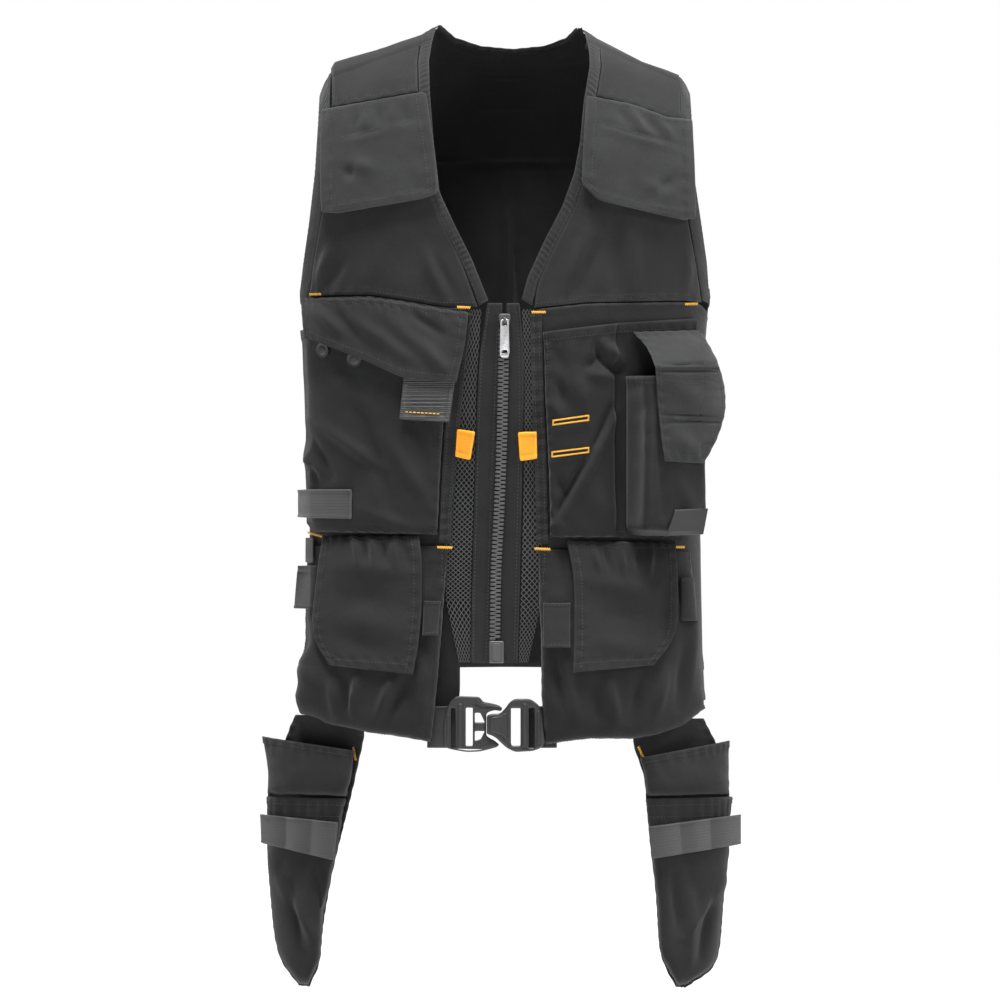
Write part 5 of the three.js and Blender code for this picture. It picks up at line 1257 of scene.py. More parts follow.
# Folds. Columns, in mm: x and z of both ends, width, height (below 0 is a dent)
FOLDS = {
    "chest_panel_left": [
        (-186, -235, -172, -200, 6, 2.4), (-180, -246, -160, -215, 6, -1.6), (-62, -250, -80, -205, 6, 2.2),
        (-52, -250, -70, -215, 5, -1.4), (-140, -240, -120, -200, 14, 1.4),
    ],
    "chest_panel_right": [
        (60, -245, 84, -180, 6, 1.8), (72, -250, 96, -190, 6, -1.6), (108, -170, 112, -250, 9, -1.8),
        (124, -170, 128, -250, 10, 1.4), (180, -245, 186, -205, 6, 1.6),
    ],
    "back_panel": [
        (2, -128, 2, -560, 2.2, -1.3), (10, -128, 11, -560, 3, 0.8),
    ],
    "lining": [
        (-200, -113, 200, -113, 2.0, -1.2), (2, -130, 3, -560, 3.5, -3.0), (9, -130, 12, -560, 4, 1.6),
        (-25, -30, 25, -30, 1.2, -0.5), (-26, -60, 26, -60, 1.2, -0.5), (-26, -30, -26, -60, 1.2, -0.5),
        (26, -30, 26, -60, 1.2, -0.5),
    ],
    "shoulder_flap_left": [
        (-167, -94, -90, -75, 1.8, -1.6), (-167, -98, -90, -79, 4, 0.8), (-162, -125, -150, -132, 6, -2.2),
        (-150, -118, -130, -126, 7, 1.6), (-150, -70, -151, -88, 4, -1.2), (-138, -68, -139, -86, 4, 1.2),
        (-126, -66, -127, -82, 4, -1.2), (-112, -62, -112, -80, 4, 1.1), (-100, -60, -101, -76, 4, -1.0),
    ],
    "shoulder_flap_right": [
        (97, -79.5, 171, -100, 1.8, -1.5), (97, -84, 171, -104, 4, 0.7), (150, -150, 168, -135, 6, -1.6),
        (140, -140, 165, -150, 7, 1.2), (112, -62, 126, -82, 5, -1.2), (124, -64, 138, -86, 4, 1.2),
        (140, -70, 156, -92, 5, -1.3), (154, -76, 166, -92, 4, 1.0),
    ],
    "chest_pocket_left": [
        (-200, -385, -175, -430, 6, -3.0), (-190, -375, -120, -425, 6, 2.4),
        (-150, -345, -110, -470, 8, -2.4), (-205, -405, -180, -430, 5, 2.2),
        (-120, -390, -75, -460, 7, 2.0), (-140, -466, -90, -484, 6, 1.4), (-204, -395, -206, -425, 16, 4.6),
        (-196, -400, -188, -440, 4, -2.0), (-170, -330, -130, -370, 8, 1.8),
        (-100, -350, -80, -420, 7, -1.6),
    ],
    "chest_flap_left": [
        (-192, -262, -160, -290, 6, 2.2), (-176, -262, -140, -300, 6, -1.6),
        (-150, -275, -90, -318, 7, 2.2), (-120, -270, -60, -325, 8, 1.6), (-95, -268, -60, -292, 5, -1.8),
        (-80, -300, -56, -330, 6, 1.4),
    ],
    "chest_pocket_right": [
        (91, -302, 97, -318, 4, -3.4), (97, -318, 116, -328, 4, -3.2), (100, -300, 114, -316, 6, 2.4),
        (82, -322, 92, -312, 4, -2.2), (84, -330, 104, -332, 5, 1.8), (106, -362, 84, -410, 3.2, -2.4),
        (84, -410, 46, -476, 3.6, -2.8), (112, -366, 62, -468, 5, 2.2), (52, -335, 60, -360, 6, -2.4),
        (44, -352, 52, -372, 5, 2.0), (72, -330, 76, -362, 7, 2.2), (52, -432, 60, -452, 5, -2.2),
        (46, -462, 54, -488, 6, 1.6), (86, -430, 96, -480, 10, 1.4), (46, -300, 60, -330, 7, -1.4),
    ],
    "phone_pocket": [
        (131, -340, 131, -480, 7, -1.8), (143, -335, 143, -470, 3, 1.1), (152, -370, 158, -470, 4, -1.3),
        (170, -430, 195, -480, 8, 1.0),
    ],
    "phone_flap": [
        (150, -320, 215, -319, 1.6, -1.4), (150, -327, 217, -326, 1.6, -1.4),
        (152, -370.5, 219, -370, 1.6, -1.4), (152, -377, 220, -376.5, 1.6, -1.4),
        (165, -335, 195, -360, 11, 1.2), (165, -385, 190, -410, 9, 1.2),
    ],
    "bag_left": [
        (-210, -600, -186, -640, 8, 2.6), (-208, -616, -196, -650, 7, -3.2),
        (-172, -630, -168, -675, 6, 2.6), (-160, -632, -158, -672, 5, -2.2),
        (-146, -630, -154, -668, 4, 3.0), (-112, -632, -126, -670, 5, 3.4),
        (-100, -636, -116, -676, 5, -2.6), (-90, -560, -82, -620, 5, -2.2), (-78, -600, -84, -680, 5, 1.8),
        (-98, -612, -92, -628, 5, -2.6), (-206, -620, -206, -668, 17, 8),
    ],
    "bag_flap_left": [
        (-150, -494, -146, -518, 3, 1.6), (-141, -494, -138, -516, 3, -1.6),
        (-132, -494, -130, -520, 3, 1.8), (-122, -494, -119, -516, 3, -1.6),
        (-112, -494, -108, -522, 3, 1.8), (-100, -496, -96, -520, 4, -1.4), (-165, -520, -95, -528, 9, 1.8),
        (-170, -548, -110, -556, 12, -1.4), (-165, -572, -105, -584, 12, 1.4),
        (-172, -590, -120, -606, 9, -1.0),
    ],
    "bag_right": [
        (48, -600, 60, -665, 6, -2.8), (58, -615, 72, -680, 6, 2.4), (86, -632, 96, -680, 6, -2.4),
        (104, -634, 112, -682, 5, 2.8), (134, -632, 128, -676, 6, -2.4), (160, -624, 150, -670, 6, 2.8),
        (182, -600, 172, -660, 6, -2.6), (190, -560, 184, -640, 6, 2.0),
    ],
    "bag_flap_right": [
        (88, -504, 94, -526, 3, 1.6), (100, -504, 104, -524, 3, -1.6), (116, -504, 118, -528, 3, 1.8),
        (132, -504, 132, -524, 3, -1.6), (146, -504, 144, -528, 3, 1.6), (85, -536, 150, -546, 9, 1.6),
        (90, -566, 155, -574, 12, -1.4), (88, -596, 140, -604, 10, 1.4), (160, -540, 158, -600, 7, -1.0),
    ],
    "holster_left": [
        (-228, -830, -190, -890, 6, 2.6), (-215, -838, -206, -900, 5, -2.8),
        (-190, -826, -180, -872, 6, -2.2), (-200, -850, -188, -915, 6, 2.0),
        (-222, -700, -214, -740, 6, 1.8), (-185, -700, -178, -745, 6, -1.8),
    ],
    "holster_right": [
        (222, -830, 178, -890, 6, 2.6), (208, -846, 196, -910, 5, -2.8), (168, -830, 174, -884, 6, -2.2),
        (186, -850, 184, -920, 6, 2.0), (216, -700, 206, -745, 6, 1.8), (165, -705, 160, -745, 6, -1.8),
    ],
}


def panel(name, rows, look, slot, hems, fold=None, pucker=0.0, wall=CLOTH, stitched=True, held="stretched",
    **laid):
    """A sheet of the vest: laid, hemmed, folded and sewn, with the paths for its stitches."""
    lift = laid.pop("lift")
    turned = laid.pop("turned", None)
    face = laid.get("face", -1)
    if turned is None:
        turned = 1 if laid.get("turns_back_at") else face
    base = lay(rows, lift, **laid)
    grid = hemmed(base, turned, hems, fold, pucker=pucker)
    made = sewn(name, grid, wall, turned, finish(look), slot, [name])
    paths = []
    if stitched:
        for side, (_, *seams) in hems.items():
            paths += [seam_path(grid, turned, side, seam) for seam in seams]
    return made, grid, paths


def bind(name, rows, lift):
    """A narrow binding, gathered across its length into fine ribs."""
    grid = strip_grid(rows, lift, 9, 0.0011)
    normals = grid_normals(grid, -1)
    s, t, _ = edge_runs(grid)
    share = s / np.maximum(s[:, -1:], 1e-6)
    ribs = np.sin(t / 0.00095 + 1.3 * np.sin(t / 0.011) + 0.5 * np.sin(share * 5))
    swell = 0.0009 * (1 - (2 * share - 1) ** 2)
    seam = -0.0006 * np.exp(-(((share - 0.8) / 0.07) ** 2))
    uneven = 0.6 + 0.4 * np.sin(t / 0.0073 + 2 * np.sin(t / 0.031))
    grid = grid + normals * (swell + seam + 0.00042 * ribs * uneven * (0.4 + 0.6 * full(share, 3)))[..., None]
    return sewn(name, grid, CLOTH * 0.8, -1, finish("binding"), "cloth_dark", [name]), grid


def tacks(name, table, look="yellow_thread", reach=0.0032):
    """Bar tacks: close stitches across a short line. Columns, in mm: both ends, lift."""
    points, faces = [], []
    for x1, z1, x2, z2, lift in table:
        count = max(int(math.dist((x1, z1), (x2, z2)) / 0.85), 3)
        t = np.linspace(0, 1, count)
        xs, zs = (x1 + (x2 - x1) * t) / 1000, (z1 + (z2 - z1) * t) / 1000
        place = drape(xs, zs, np.full(count, lift / 1000), -1)
        outs = outward(place)
        along = unit(place[-1] - place[0])
        for k in range(count):
            across = unit(np.cross(outs[k], along))
            lean = unit(across + along * (0.25 if k % 2 else -0.25))
            base = len(points)
            for px, py, pz in STITCH:
                points.append(place[k] + lean * px * reach + along * py * 0.001 + outs[k] * pz * 0.0016)
            faces += [tuple(base + q for q in f) for f in STITCH_FACES]
    made = mesh_object(name, np.array(points), np.array(faces))
    choose(made)
    bpy.ops.object.mode_set(mode="EDIT")
    bpy.ops.mesh.select_all(action="SELECT")
    bpy.ops.mesh.normals_make_consistent(inside=False)
    bpy.ops.object.mode_set(mode="OBJECT")
    smooth(made, 70)
    return settle(made, finish(look), "yellow_tape")


def puffed(made, pinned, pressure, cap, frames=20):
    """Fills a padded piece by cloth simulation, keeping its seams where they are."""
    before = np.empty(len(made.data.vertices) * 3)
    made.data.vertices.foreach_get("co", before)
    group = made.vertex_groups.new(name="seams")
    group.add([int(k) for k in np.nonzero(pinned)[0]], 1.0, "REPLACE")
    choose(made)
    cloth = made.modifiers.new("fill", "CLOTH")
    cloth.settings.use_pressure = True
    cloth.settings.uniform_pressure_force = pressure
    cloth.settings.vertex_group_mass = "seams"
    cloth.settings.effector_weights.gravity = 0
    cloth.settings.quality = 5
    cloth.settings.mass = 0.3
    cloth.settings.bending_stiffness = 1.2
    cloth.settings.tension_stiffness = 18
    cloth.settings.compression_stiffness = 6
    cloth.point_cache.frame_start = 1
    cloth.point_cache.frame_end = frames
    for step in range(1, frames + 1):
        bpy.context.scene.frame_set(step)
    bpy.ops.object.modifier_apply(modifier=cloth.name)
    bpy.context.scene.frame_set(1)
    after = np.empty(len(made.data.vertices) * 3)
    made.data.vertices.foreach_get("co", after)
    move = (after - before).reshape(-1, 3)
    far = np.linalg.norm(move, axis=1, keepdims=True)
    move *= np.minimum(1, cap / np.maximum(far, 1e-9))
    made.data.vertices.foreach_set("co", (before.reshape(-1, 3) + move).reshape(-1))
    made.data.update()
    made.vertex_groups.clear()


class VEST_OT_stage(bpy.types.Operator):
    """Camera, lights and floor"""

    bl_idname = "vest.stage"
    bl_label = "Stage"

    def execute(self, context):
        scene = context.scene
        camera = bpy.data.cameras.new("camera")
        camera.lens = CAMERA_LENS
        camera.sensor_width = 36
        camera.clip_end = 60
        eye = bpy.data.objects.new("camera", camera)
        eye.location = CAMERA_AT
        eye.rotation_euler = (math.radians(90), 0, 0)
        scene.collection.objects.link(eye)
        scene.camera = eye
        level_z = CAD_BOX[0][2] - scene.vest_sizes.floor_drop
        bpy.ops.object.select_all(action="DESELECT")
        bpy.ops.mesh.primitive_circle_add(vertices=96, radius=30, fill_type="NGON", location=(0, 0, 0))
        floor = context.view_layer.objects.active
        floor.name = "floor"
        floor.data.transform(Matrix.Translation((0, 0, level_z)))
        floor.data.materials.append(floor_finish(scene.vest_colours.floor))
        world = bpy.data.worlds.new("studio")
        world.use_nodes = True
        tree = world.node_tree
        soft = tree.nodes["Background"]
        soft.inputs[0].default_value = (1, 1, 1, 1)
        soft.inputs[1].default_value = 0.22
        white = tree.nodes.new("ShaderNodeBackground")
        white.inputs[0].default_value = (1, 1, 1, 1)
        white.inputs[1].default_value = 1.0
        path = tree.nodes.new("ShaderNodeLightPath")
        either = tree.nodes.new("ShaderNodeMixShader")
        tree.links.new(path.outputs["Is Camera Ray"], either.inputs[0])
        tree.links.new(soft.outputs[0], either.inputs[1])
        tree.links.new(white.outputs[0], either.inputs[2])
        tree.links.new(either.outputs[0], tree.nodes["World Output"].inputs[0])
        scene.world = world
        scene.view_settings.view_transform = "Standard"
        scene.view_settings.look = "None"
        for name, place, size, power in (
            ("key", (2.9, -1.6, 1.3), 0.8, 54),
            ("fill", (-1.2, -3.2, -1.3), 1.2, 14),
            ("top", (-0.3, -0.9, 2.6), 0.9, 150),
            ("back", (0.6, 3.0, 1.4), 1.8, 18),
        ):
            light = bpy.data.lights.new(name, "AREA")
            light.size = size
            light.energy = power
            lamp = bpy.data.objects.new(name, light)
            lamp.location = place
            aim = Vector((0, 0, -0.45)) - Vector(place)
            lamp.rotation_euler = aim.to_track_quat("-Z", "Y").to_euler()
            scene.collection.objects.link(lamp)
        sun = bpy.data.lights.new("overhead", "SUN")
        sun.energy = 3.9
        sun.angle = math.radians(35)
        lamp = bpy.data.objects.new("overhead", sun)
        lamp.rotation_euler = (math.radians(9), math.radians(9), 0)
        scene.collection.objects.link(lamp)
        return {"FINISHED"}


class VEST_OT_shell(bpy.types.Operator):
    """Back, yokes, chest and front panels"""

    bl_idname = "vest.shell"
    bl_label = "Shell"

    def execute(self, context):
        sizes = context.scene.vest_sizes
        seams = []
        plain = {"left": (0,), "right": (0,), "top": (0.006, 0.004), "bottom": (0.008, 0.006)}
        back = waved(11, 0.0011, 0.09, FOLDS["back_panel"])
        seams += panel("back_panel", BACK_PANEL, "shell", "cloth_dark", plain, back, lift=SHELL, face=1,
            pitch=0.0045)[2]
        seams += panel(
            "back_yoke", BACK_YOKE, "shell", "cloth_dark",
            {"bottom": (0.007, 0.003, 0.006), "top": (0.006, 0.004)},
            waved(12, 0.0005, 0.06), sizes.pucker * 0.5, lift=SHELL, face=1,
        )[2]
        seams += panel(
            "neck_band_back", NECK_BAND, "binding", "cloth_dark",
            {"top": (0.005, 0.0035), "bottom": (0.005, 0.0035)},
            None, sizes.pucker * 0.6, lift=SHELL, face=1, pitch=0.0022,
        )[2]
        for side, rows, seed in (("left", YOKE_LEFT, 13), ("right", YOKE_RIGHT, 14)):
            seams += panel(
                "shoulder_yoke_" + side, rows, "shell", "cloth_dark",
                {"top": (0.008, 0.005), "bottom": (0.006, 0.004)},
                waved(seed, 0.0004, 0.05), sizes.pucker, lift=SHELL, turns_back_at=4, pitch=0.0022,
            )[2]
        for side, rows, seed in (("left", CHEST_PANEL_LEFT, 15), ("right", CHEST_PANEL_RIGHT, 16)):
            seams += panel(
                "chest_panel_" + side, rows, "shell", "cloth_dark",
                {"bottom": (0.006, 0.0035), "top": (0.005, 0.003)},
                waved(seed, 0.001, 0.08, FOLDS["chest_panel_" + side]),
                sizes.pucker, lift=SHELL, pitch=0.0026,
            )[2]
        for side, rows, seed in (("left", FRONT_LEFT, 17), ("right", FRONT_RIGHT, 18)):
            panel(
                "front_panel_" + side, rows, "shell", "cloth_dark",
                {"top": (0.005, 0.003), "bottom": (0.01, 0.008)},
                waved(seed, 0.0004, 0.06), lift=SHELL, pitch=0.004, stitched=False,
            )
        for name, rows, face in (
            ("back_facing", BACK_FACING, 1), ("shoulder_facing_left", SHOULDER_FACING_LEFT, -1),
            ("shoulder_facing_right", SHOULDER_FACING_RIGHT, -1),
            ("chest_facing_left", CHEST_FACING_LEFT, -1),
            ("chest_facing_right", CHEST_FACING_RIGHT, -1),
        ):
            grid = lay(rows, -0.0009, face=face, pitch=0.0036, soften=0)
            if face > 0:
                pleat = waved(19, 0.0009, 0.08, FOLDS["lining"])
                grid = grid + grid_normals(grid, face) * pleat(grid[..., 0], grid[..., 2])[..., None]
            sewn(name, grid, 0.0008, face, finish("lining"), "cloth_dark", [])
        stitches("shell_stitches", seams, finish("dark_thread"), length=sizes.stitch)
        return {"FINISHED"}


class VEST_OT_bindings(bpy.types.Operator):
    """Gathered bindings round the neck and the armholes"""

    bl_idname = "vest.bindings"
    bl_label = "Bindings"

    def execute(self, context):
        sizes = context.scene.vest_sizes
        seams = []
        for name, rows, side in (
            ("neck_binding_left", NECK_LEFT, "left"),
            ("neck_binding_right", NECK_RIGHT, "right"),
            ("armhole_binding_left", ARMHOLE_LEFT, "right"),
            ("armhole_binding_right", ARMHOLE_RIGHT, "left"),
        ):
            _, grid = bind(name, rows, SHELL)
            seams.append(seam_path(grid, -1, side, 0.0018))
        stitches("binding_stitches", seams, finish("dark_thread"), length=sizes.stitch * 0.8)
        return {"FINISHED"}


class VEST_OT_shoulder_flaps(bpy.types.Operator):
    """Padded flaps on the shoulders, filled by cloth simulation"""

    bl_idname = "vest.shoulder_flaps"
    bl_label = "Shoulder flaps"

    def execute(self, context):
        sizes = context.scene.vest_sizes
        lift = flap(SHELL + 0.003 + SEAM_GAP + 0.0006, 0.011)
        seams = []
        for side, rows, pocket_line in (
            ("left", FLAP_LEFT, (-167, -94, -90, -75)),
            ("right", FLAP_RIGHT, (97, -79.5, 171, -100)),
        ):
            grid = lay(rows, lift, pitch=0.0034)
            fold = waved(21, 0.0008, 0.06, FOLDS["shoulder_flap_" + side])
            outer, inner = ("left", "right") if side == "left" else ("right", "left")
            hems = {"bottom": (0.008, 0.0065), outer: (0.015, 0.0135), inner: (0.011, 0.0095),
                "top": (0.006, 0.004)}
            grid = hemmed(grid, -1, hems, fold, 0.0008, sizes.pucker * 0.7)
            points, faces, uv, edge = closed_sheet(grid, 0.003, -1)
            name = "shoulder_flap_" + side
            made = mesh_object(name, points, faces, uv, edge)
            puffed(made, edge < 0.014, sizes.pad_pressure, 0.003)
            choose(made)
            subdivide = made.modifiers.new("round", "SUBSURF")
            subdivide.levels = subdivide.render_levels = 1
            bpy.ops.object.modifier_apply(modifier=subdivide.name)
            smooth(made, 60)
            settle(made, finish("grey"), "cloth_grey", name)
            for where, (_, seam) in hems.items():
                seams.append(seam_path(grid, -1, where, seam))
            x1, z1, x2, z2 = pocket_line
            t = np.linspace(0.03, 0.97, 30)
            xs, zs = (x1 + (x2 - x1) * t) / 1000, (z1 + (z2 - z1) * t) / 1000
            share = np.interp(-zs / LENGTH, [0.09, 0.24], [0, 1])
            path = drape(xs, zs, lift(xs, share) + 0.0003, -1)
            seams.append((path, outward(path)))
        stitches("flap_stitches", seams, finish("dark_thread"), length=sizes.stitch)
        return {"FINISHED"}


def net_piece(name, rows, lift, across, down, opening):
    """Coarse net: diagonal threads around staggered diamond openings, two to a cell."""
    a = opening
    ij = lambda m, n: [v.reshape(-1) for v in np.meshgrid(np.arange(m), np.arange(n), indexing="ij")]
    ci, cj = ij(down, across)
    hi, hj = ij(down + 1, across)
    vi, vj = ij(down, across + 1)
    spots = np.concatenate([np.stack([u / across, v / down], axis=1) for u, v in (
        (cj + 0.5, ci + 0.5 - a), (cj + 0.5 + a, ci + 0.5), (cj + 0.5, ci + 0.5 + a),
        (cj + 0.5 - a, ci + 0.5),
        (hj + a, hi), (hj + 1 - a, hi), (vj, vi + a), (vj, vi + 1 - a),
    )])
    spans = len(rows) - 1
    lines = [row_points(row, spots[:, 0]) for row in rows]
    at = np.clip(spots[:, 1] * spans, 0, spans - 1e-9)
    k = at.astype(int)
    t = at - k
    pick = lambda c: np.choose(k, [ln[c] for ln in lines[:-1]]) * (1 - t) + np.choose(k,
        [ln[c] for ln in lines[1:]]) * t
    x, z = pick(0) * HALF_WIDTH, -pick(1) * LENGTH
    outer = drape(x, z, np.full(x.shape, lift), -1)
    inner = drape(x, z, np.full(x.shape, lift - 0.0004), -1)
    cells, level, upright = down * across, (down + 1) * across, down * (across + 1)
    c = ci * across + cj
    top, right, bottom, left = c, c + cells, c + 2 * cells, c + 3 * cells
    start = 4 * cells
    h = lambda i, j, far: start + far * level + i * across + j
    v = lambda i, j, far: start + 2 * level + far * upright + i * (across + 1) + j
    quads = np.concatenate([np.stack(q, axis=1) for q in (
        (top, right, v(ci, cj + 1, 0), h(ci, cj, 1)), (right, bottom, h(ci + 1, cj, 1), v(ci, cj + 1, 1)),
        (bottom, left, v(ci, cj, 1), h(ci + 1, cj, 0)), (left, top, h(ci, cj, 0), v(ci, cj, 0)),
    )])
    corners = np.concatenate([np.stack(q, axis=1) for q in (
        (top, h(ci, cj, 1), h(ci, cj, 0)), (right, v(ci, cj + 1, 1), v(ci, cj + 1, 0)),
        (bottom, h(ci + 1, cj, 0), h(ci + 1, cj, 1)), (left, v(ci, cj, 0), v(ci, cj, 1)),
    )])
    faces = np.concatenate([quads[:, :3], quads[:, [0, 2, 3]], corners])
    n = len(outer)
    edges = np.concatenate([faces[:, [0, 1]], faces[:, [1, 2]], faces[:, [2, 0]]])
    lone = edges[~np.isin(edges[:, 0] * n + edges[:, 1], edges[:, 1] * n + edges[:, 0])]
    walls = np.concatenate([
        np.stack([lone[:, 1], lone[:, 0], lone[:, 0] + n], axis=1),
        np.stack([lone[:, 1], lone[:, 0] + n, lone[:, 1] + n], axis=1),
    ])
    every = np.concatenate([faces, faces[:, ::-1] + n, walls])
    made = mesh_object(name, np.concatenate([outer, inner]), every)
    smooth(made, 50)
    settle(made, finish("net"), "net", name)
    wide = max(r[2] - r[0] for r in rows) * HALF_WIDTH
    long = (rows[-1][1] - rows[0][1]) * LENGTH
    wide * long * (1 - 4 * opening**2) * 1.2
    return made


class VEST_OT_opening(bpy.types.Operator):
    """Edges, net, zip tapes and yellow tabs of the front opening"""

    bl_idname = "vest.opening"
    bl_label = "Front opening"

    def execute(self, context):
        sizes = context.scene.vest_sizes
        seams = []
        for side, rows in (("left", EDGE_LEFT), ("right", EDGE_RIGHT)):
            seams += panel(
                "front_edge_" + side, rows, "shell", "cloth_dark",
                {"left": (0.004, 0.0025), "right": (0.004, 0.0025)},
                waved(31, 0.0004, 0.03), sizes.pucker * 0.8, lift=ON_SHELL, pitch=0.0014,
            )[2]
        for side, rows in (("left", TAPE_LEFT), ("right", TAPE_RIGHT)):
            seams += panel(
                "zip_tape_" + side, rows, "tape", "cloth_dark",
                {"left": (0.003, 0.0018), "right": (0.002, 0.0035)},
                waved(32, 0.0003, 0.03), lift=SHELL - 0.0005, pitch=0.0018,
            )[2]
        net_piece("mesh_panel_left", MESH_LEFT, BEHIND_SHELL, 5, 56, 0.395)
        net_piece("mesh_panel_right", MESH_RIGHT, BEHIND_SHELL, 4, 56, 0.395)
        for side, rows in (("left", TAB_LEFT), ("right", TAB_RIGHT)):
            lift = ON_SHELL + SEAM_GAP + 0.0005 + 2 * CLOTH
            panel(
                "pull_tab_" + side, rows, "yellow", "yellow_tape",
                {"top": (0.003, 0.0018), "bottom": (0.002, 0.004)},
                waved(33, 0.0005, 0.018), lift=lift, pitch=0.0012, wall=2 * CLOTH, soften=0,
                held="folded", stitched=False,
            )
        stitches("opening_stitches", seams, finish("dark_thread"), length=sizes.stitch)
        return {"FINISHED"}


class VEST_OT_zip(bpy.types.Operator):
    """Moulded teeth, slider, pull and bottom box of the zip"""

    bl_idname = "vest.zip"
    bl_label = "Zip"

    def execute(self, context):
        pitch = context.scene.vest_sizes.tooth_pitch
        line = [[down, across] for across, down in CHAIN_LINE]
        first, last = line[0][0] * LENGTH, line[-1][0] * LENGTH
        bpy.ops.object.select_all(action="DESELECT")
        bpy.ops.mesh.primitive_cube_add(size=1, location=(0, 0, 0))
        tooth = context.view_layer.objects.active
        bpy.ops.object.mode_set(mode="EDIT")
        bpy.ops.mesh.select_all(action="SELECT")
        bpy.ops.transform.resize(value=(0.0058, 0.0027, 0.0036))
        bpy.ops.mesh.bevel(offset=0.0008, segments=2)
        bpy.ops.object.mode_set(mode="OBJECT")
        shape = np.array([v.co[:] for v in tooth.data.vertices])
        shape[shape[:, 0] > 0, 1] *= 1.12
        tooth_faces = [tuple(p.vertices) for p in tooth.data.polygons]
        bpy.data.objects.remove(tooth)
        count = int((last - first) / pitch * 2)
        downs = np.linspace(first, last, count)
        x = table_value(line, downs / LENGTH, 1) * HALF_WIDTH
        place = drape(x, -downs, np.full(count, ZIP_TOP + 0.0019), -1)
        outs = outward(place)
        mesh = bmesh.new()
        for k in range(count):
            down = unit(place[min(k + 1, count - 1)] - place[max(k - 1, 0)])
            side = unit(np.cross(outs[k], down)) * (1 if k % 2 else -1)
            middle = place[k] - side * 0.0024
            corners = [
                mesh.verts.new(middle + side * px + down * py * (1 if k % 2 else -1) + outs[k] * pz)
                for px, py, pz in shape
            ]
            for f in tooth_faces:
                mesh.faces.new([corners[q] for q in f])
        bmesh.ops.recalc_face_normals(mesh, faces=mesh.faces)
        data = bpy.data.meshes.new("zip_teeth")
        mesh.to_mesh(data)
        mesh.free()
        teeth = bpy.data.objects.new("zip_teeth", data)
        context.scene.collection.objects.link(teeth)
        smooth(teeth, 35)
        settle(teeth, finish("teeth"), "plastic", "zip_chain")

        at = seat_matrix(*SLIDER_AT, ZIP_TOP)
        body = rounded(
            [(-0.0042, -0.0065), (0.0042, -0.0065), (0.006, 0.002), (0.0054, 0.0065), (-0.0054, 0.0065),
                (-0.006, 0.002)],
            0.0016,
        )
        shell = moulded("zip_slider_body", body, [], 0.0034, 0.0009, at)
        rail = rounded([(-0.0031, 0), (0.0031, 0), (0.0031, 0.0066), (-0.0031, 0.0066)], 0.0014)
        eye = rounded([(-0.0018, 0.0017), (0.0018, 0.0017), (0.0018, 0.0053), (-0.0018, 0.0053)], 0.001)
        upright = Matrix(((0, 0, 1, 0), (1, 0, 0, 0), (0, 1, 0, 0), (0, 0, 0, 1)))
        bail = moulded(
            "zip_bail", rail, [eye], 0.0026, 0.0005,
            at @ Matrix.Translation((-0.0013, 0, 0.0017)) @ upright,
        )
        slider = join("zip_slider_shaped", [shell, bail])
        smooth(slider, 40)
        settle(slider, finish("teeth"), "plastic", "zip_slider")

        half, top = 0.005, 0.0008
        bottom = top - 0.038
        plate = rounded(
            [(-half * 0.86, top), (-half * 0.86, top - 0.0078), (-half, bottom + half), (-half * 0.7, bottom),
             (half * 0.7, bottom), (half, bottom + half), (half * 0.86, top - 0.0078), (half * 0.86, top)],
            0.0015,
        )
        slot = rounded([(-0.0022, top - 0.0058), (0.0022, top - 0.0058), (0.0022, top - 0.0016),
            (-0.0022, top - 0.0016)],
                       0.0008)
        grip = rounded([(-0.0026, bottom + 0.004), (0.0026, bottom + 0.004), (0.0026, bottom + 0.0075),
                        (-0.0026, bottom + 0.0075)], 0.0012)
        lift = ZIP_TOP + 0.0034 + 0.0018
        pull_at = seat_matrix(*SLIDER_AT, lift) @ Matrix.Translation((0, 0, -0.0009))
        pull = moulded("zip_pull_plate", plate, [slot, grip], 0.0018, 0.00045, pull_at)
        settle(pull, finish("metal"), "metal", "zip_pull")

        at = seat_matrix(*BOTTOM_BOX_AT, ZIP_TOP)
        outline = rounded([(-0.0075, -0.011), (0.0075, -0.011), (0.0075, 0.011), (-0.0075, 0.011)], 0.002)
        base = moulded("zip_box_base", outline, [], 0.0045, 0.0012, at)
        ridge = rounded([(-0.0045, -0.0085), (0.0045, -0.0085), (0.0045, 0.0085), (-0.0045, 0.0085)], 0.0018)
        raised = moulded("zip_box_ridge", ridge, [], 0.002, 0.0006, at @ Matrix.Translation((0, 0, 0.004)))
        box = join("zip_box_shaped", [base, raised])
        smooth(box, 40)
        settle(box, finish("teeth"), "plastic", "zip_bottom_box")
        return {"FINISHED"}


def stud(name, across, down, lift):
    """A press stud: a dished cap with a raised rim, shaped from a cylinder."""
    bpy.ops.object.select_all(action="DESELECT")
    bpy.ops.mesh.primitive_cylinder_add(vertices=48, radius=0.008, depth=0.0025, location=(0, 0, 0))
    made = bpy.context.view_layer.objects.active
    made.name = name
    bpy.ops.object.mode_set(mode="EDIT")
    bpy.ops.mesh.select_all(action="DESELECT")
    mesh = bmesh.from_edit_mesh(made.data)
    for f in mesh.faces:
        f.select = f.normal.z > 0.9
    bmesh.update_edit_mesh(made.data)
    bpy.ops.mesh.inset(thickness=0.0013)
    bpy.ops.transform.translate(value=(0, 0, -0.0008))
    bpy.ops.mesh.inset(thickness=0.0026)
    bpy.ops.mesh.inset(thickness=0.0006)
    bpy.ops.transform.translate(value=(0, 0, 0.0007))
    bpy.ops.object.mode_set(mode="OBJECT")
    bevel = made.modifiers.new("edges", "BEVEL")
    bevel.width = 0.0004
    bevel.segments = 2
    bpy.ops.object.modifier_apply(modifier=bevel.name)
    made.data.transform(seat_matrix(across, down, lift))
    smooth(made, 45)
    return settle(made, finish("snap"), "webbing", name.replace("_cap", ""))


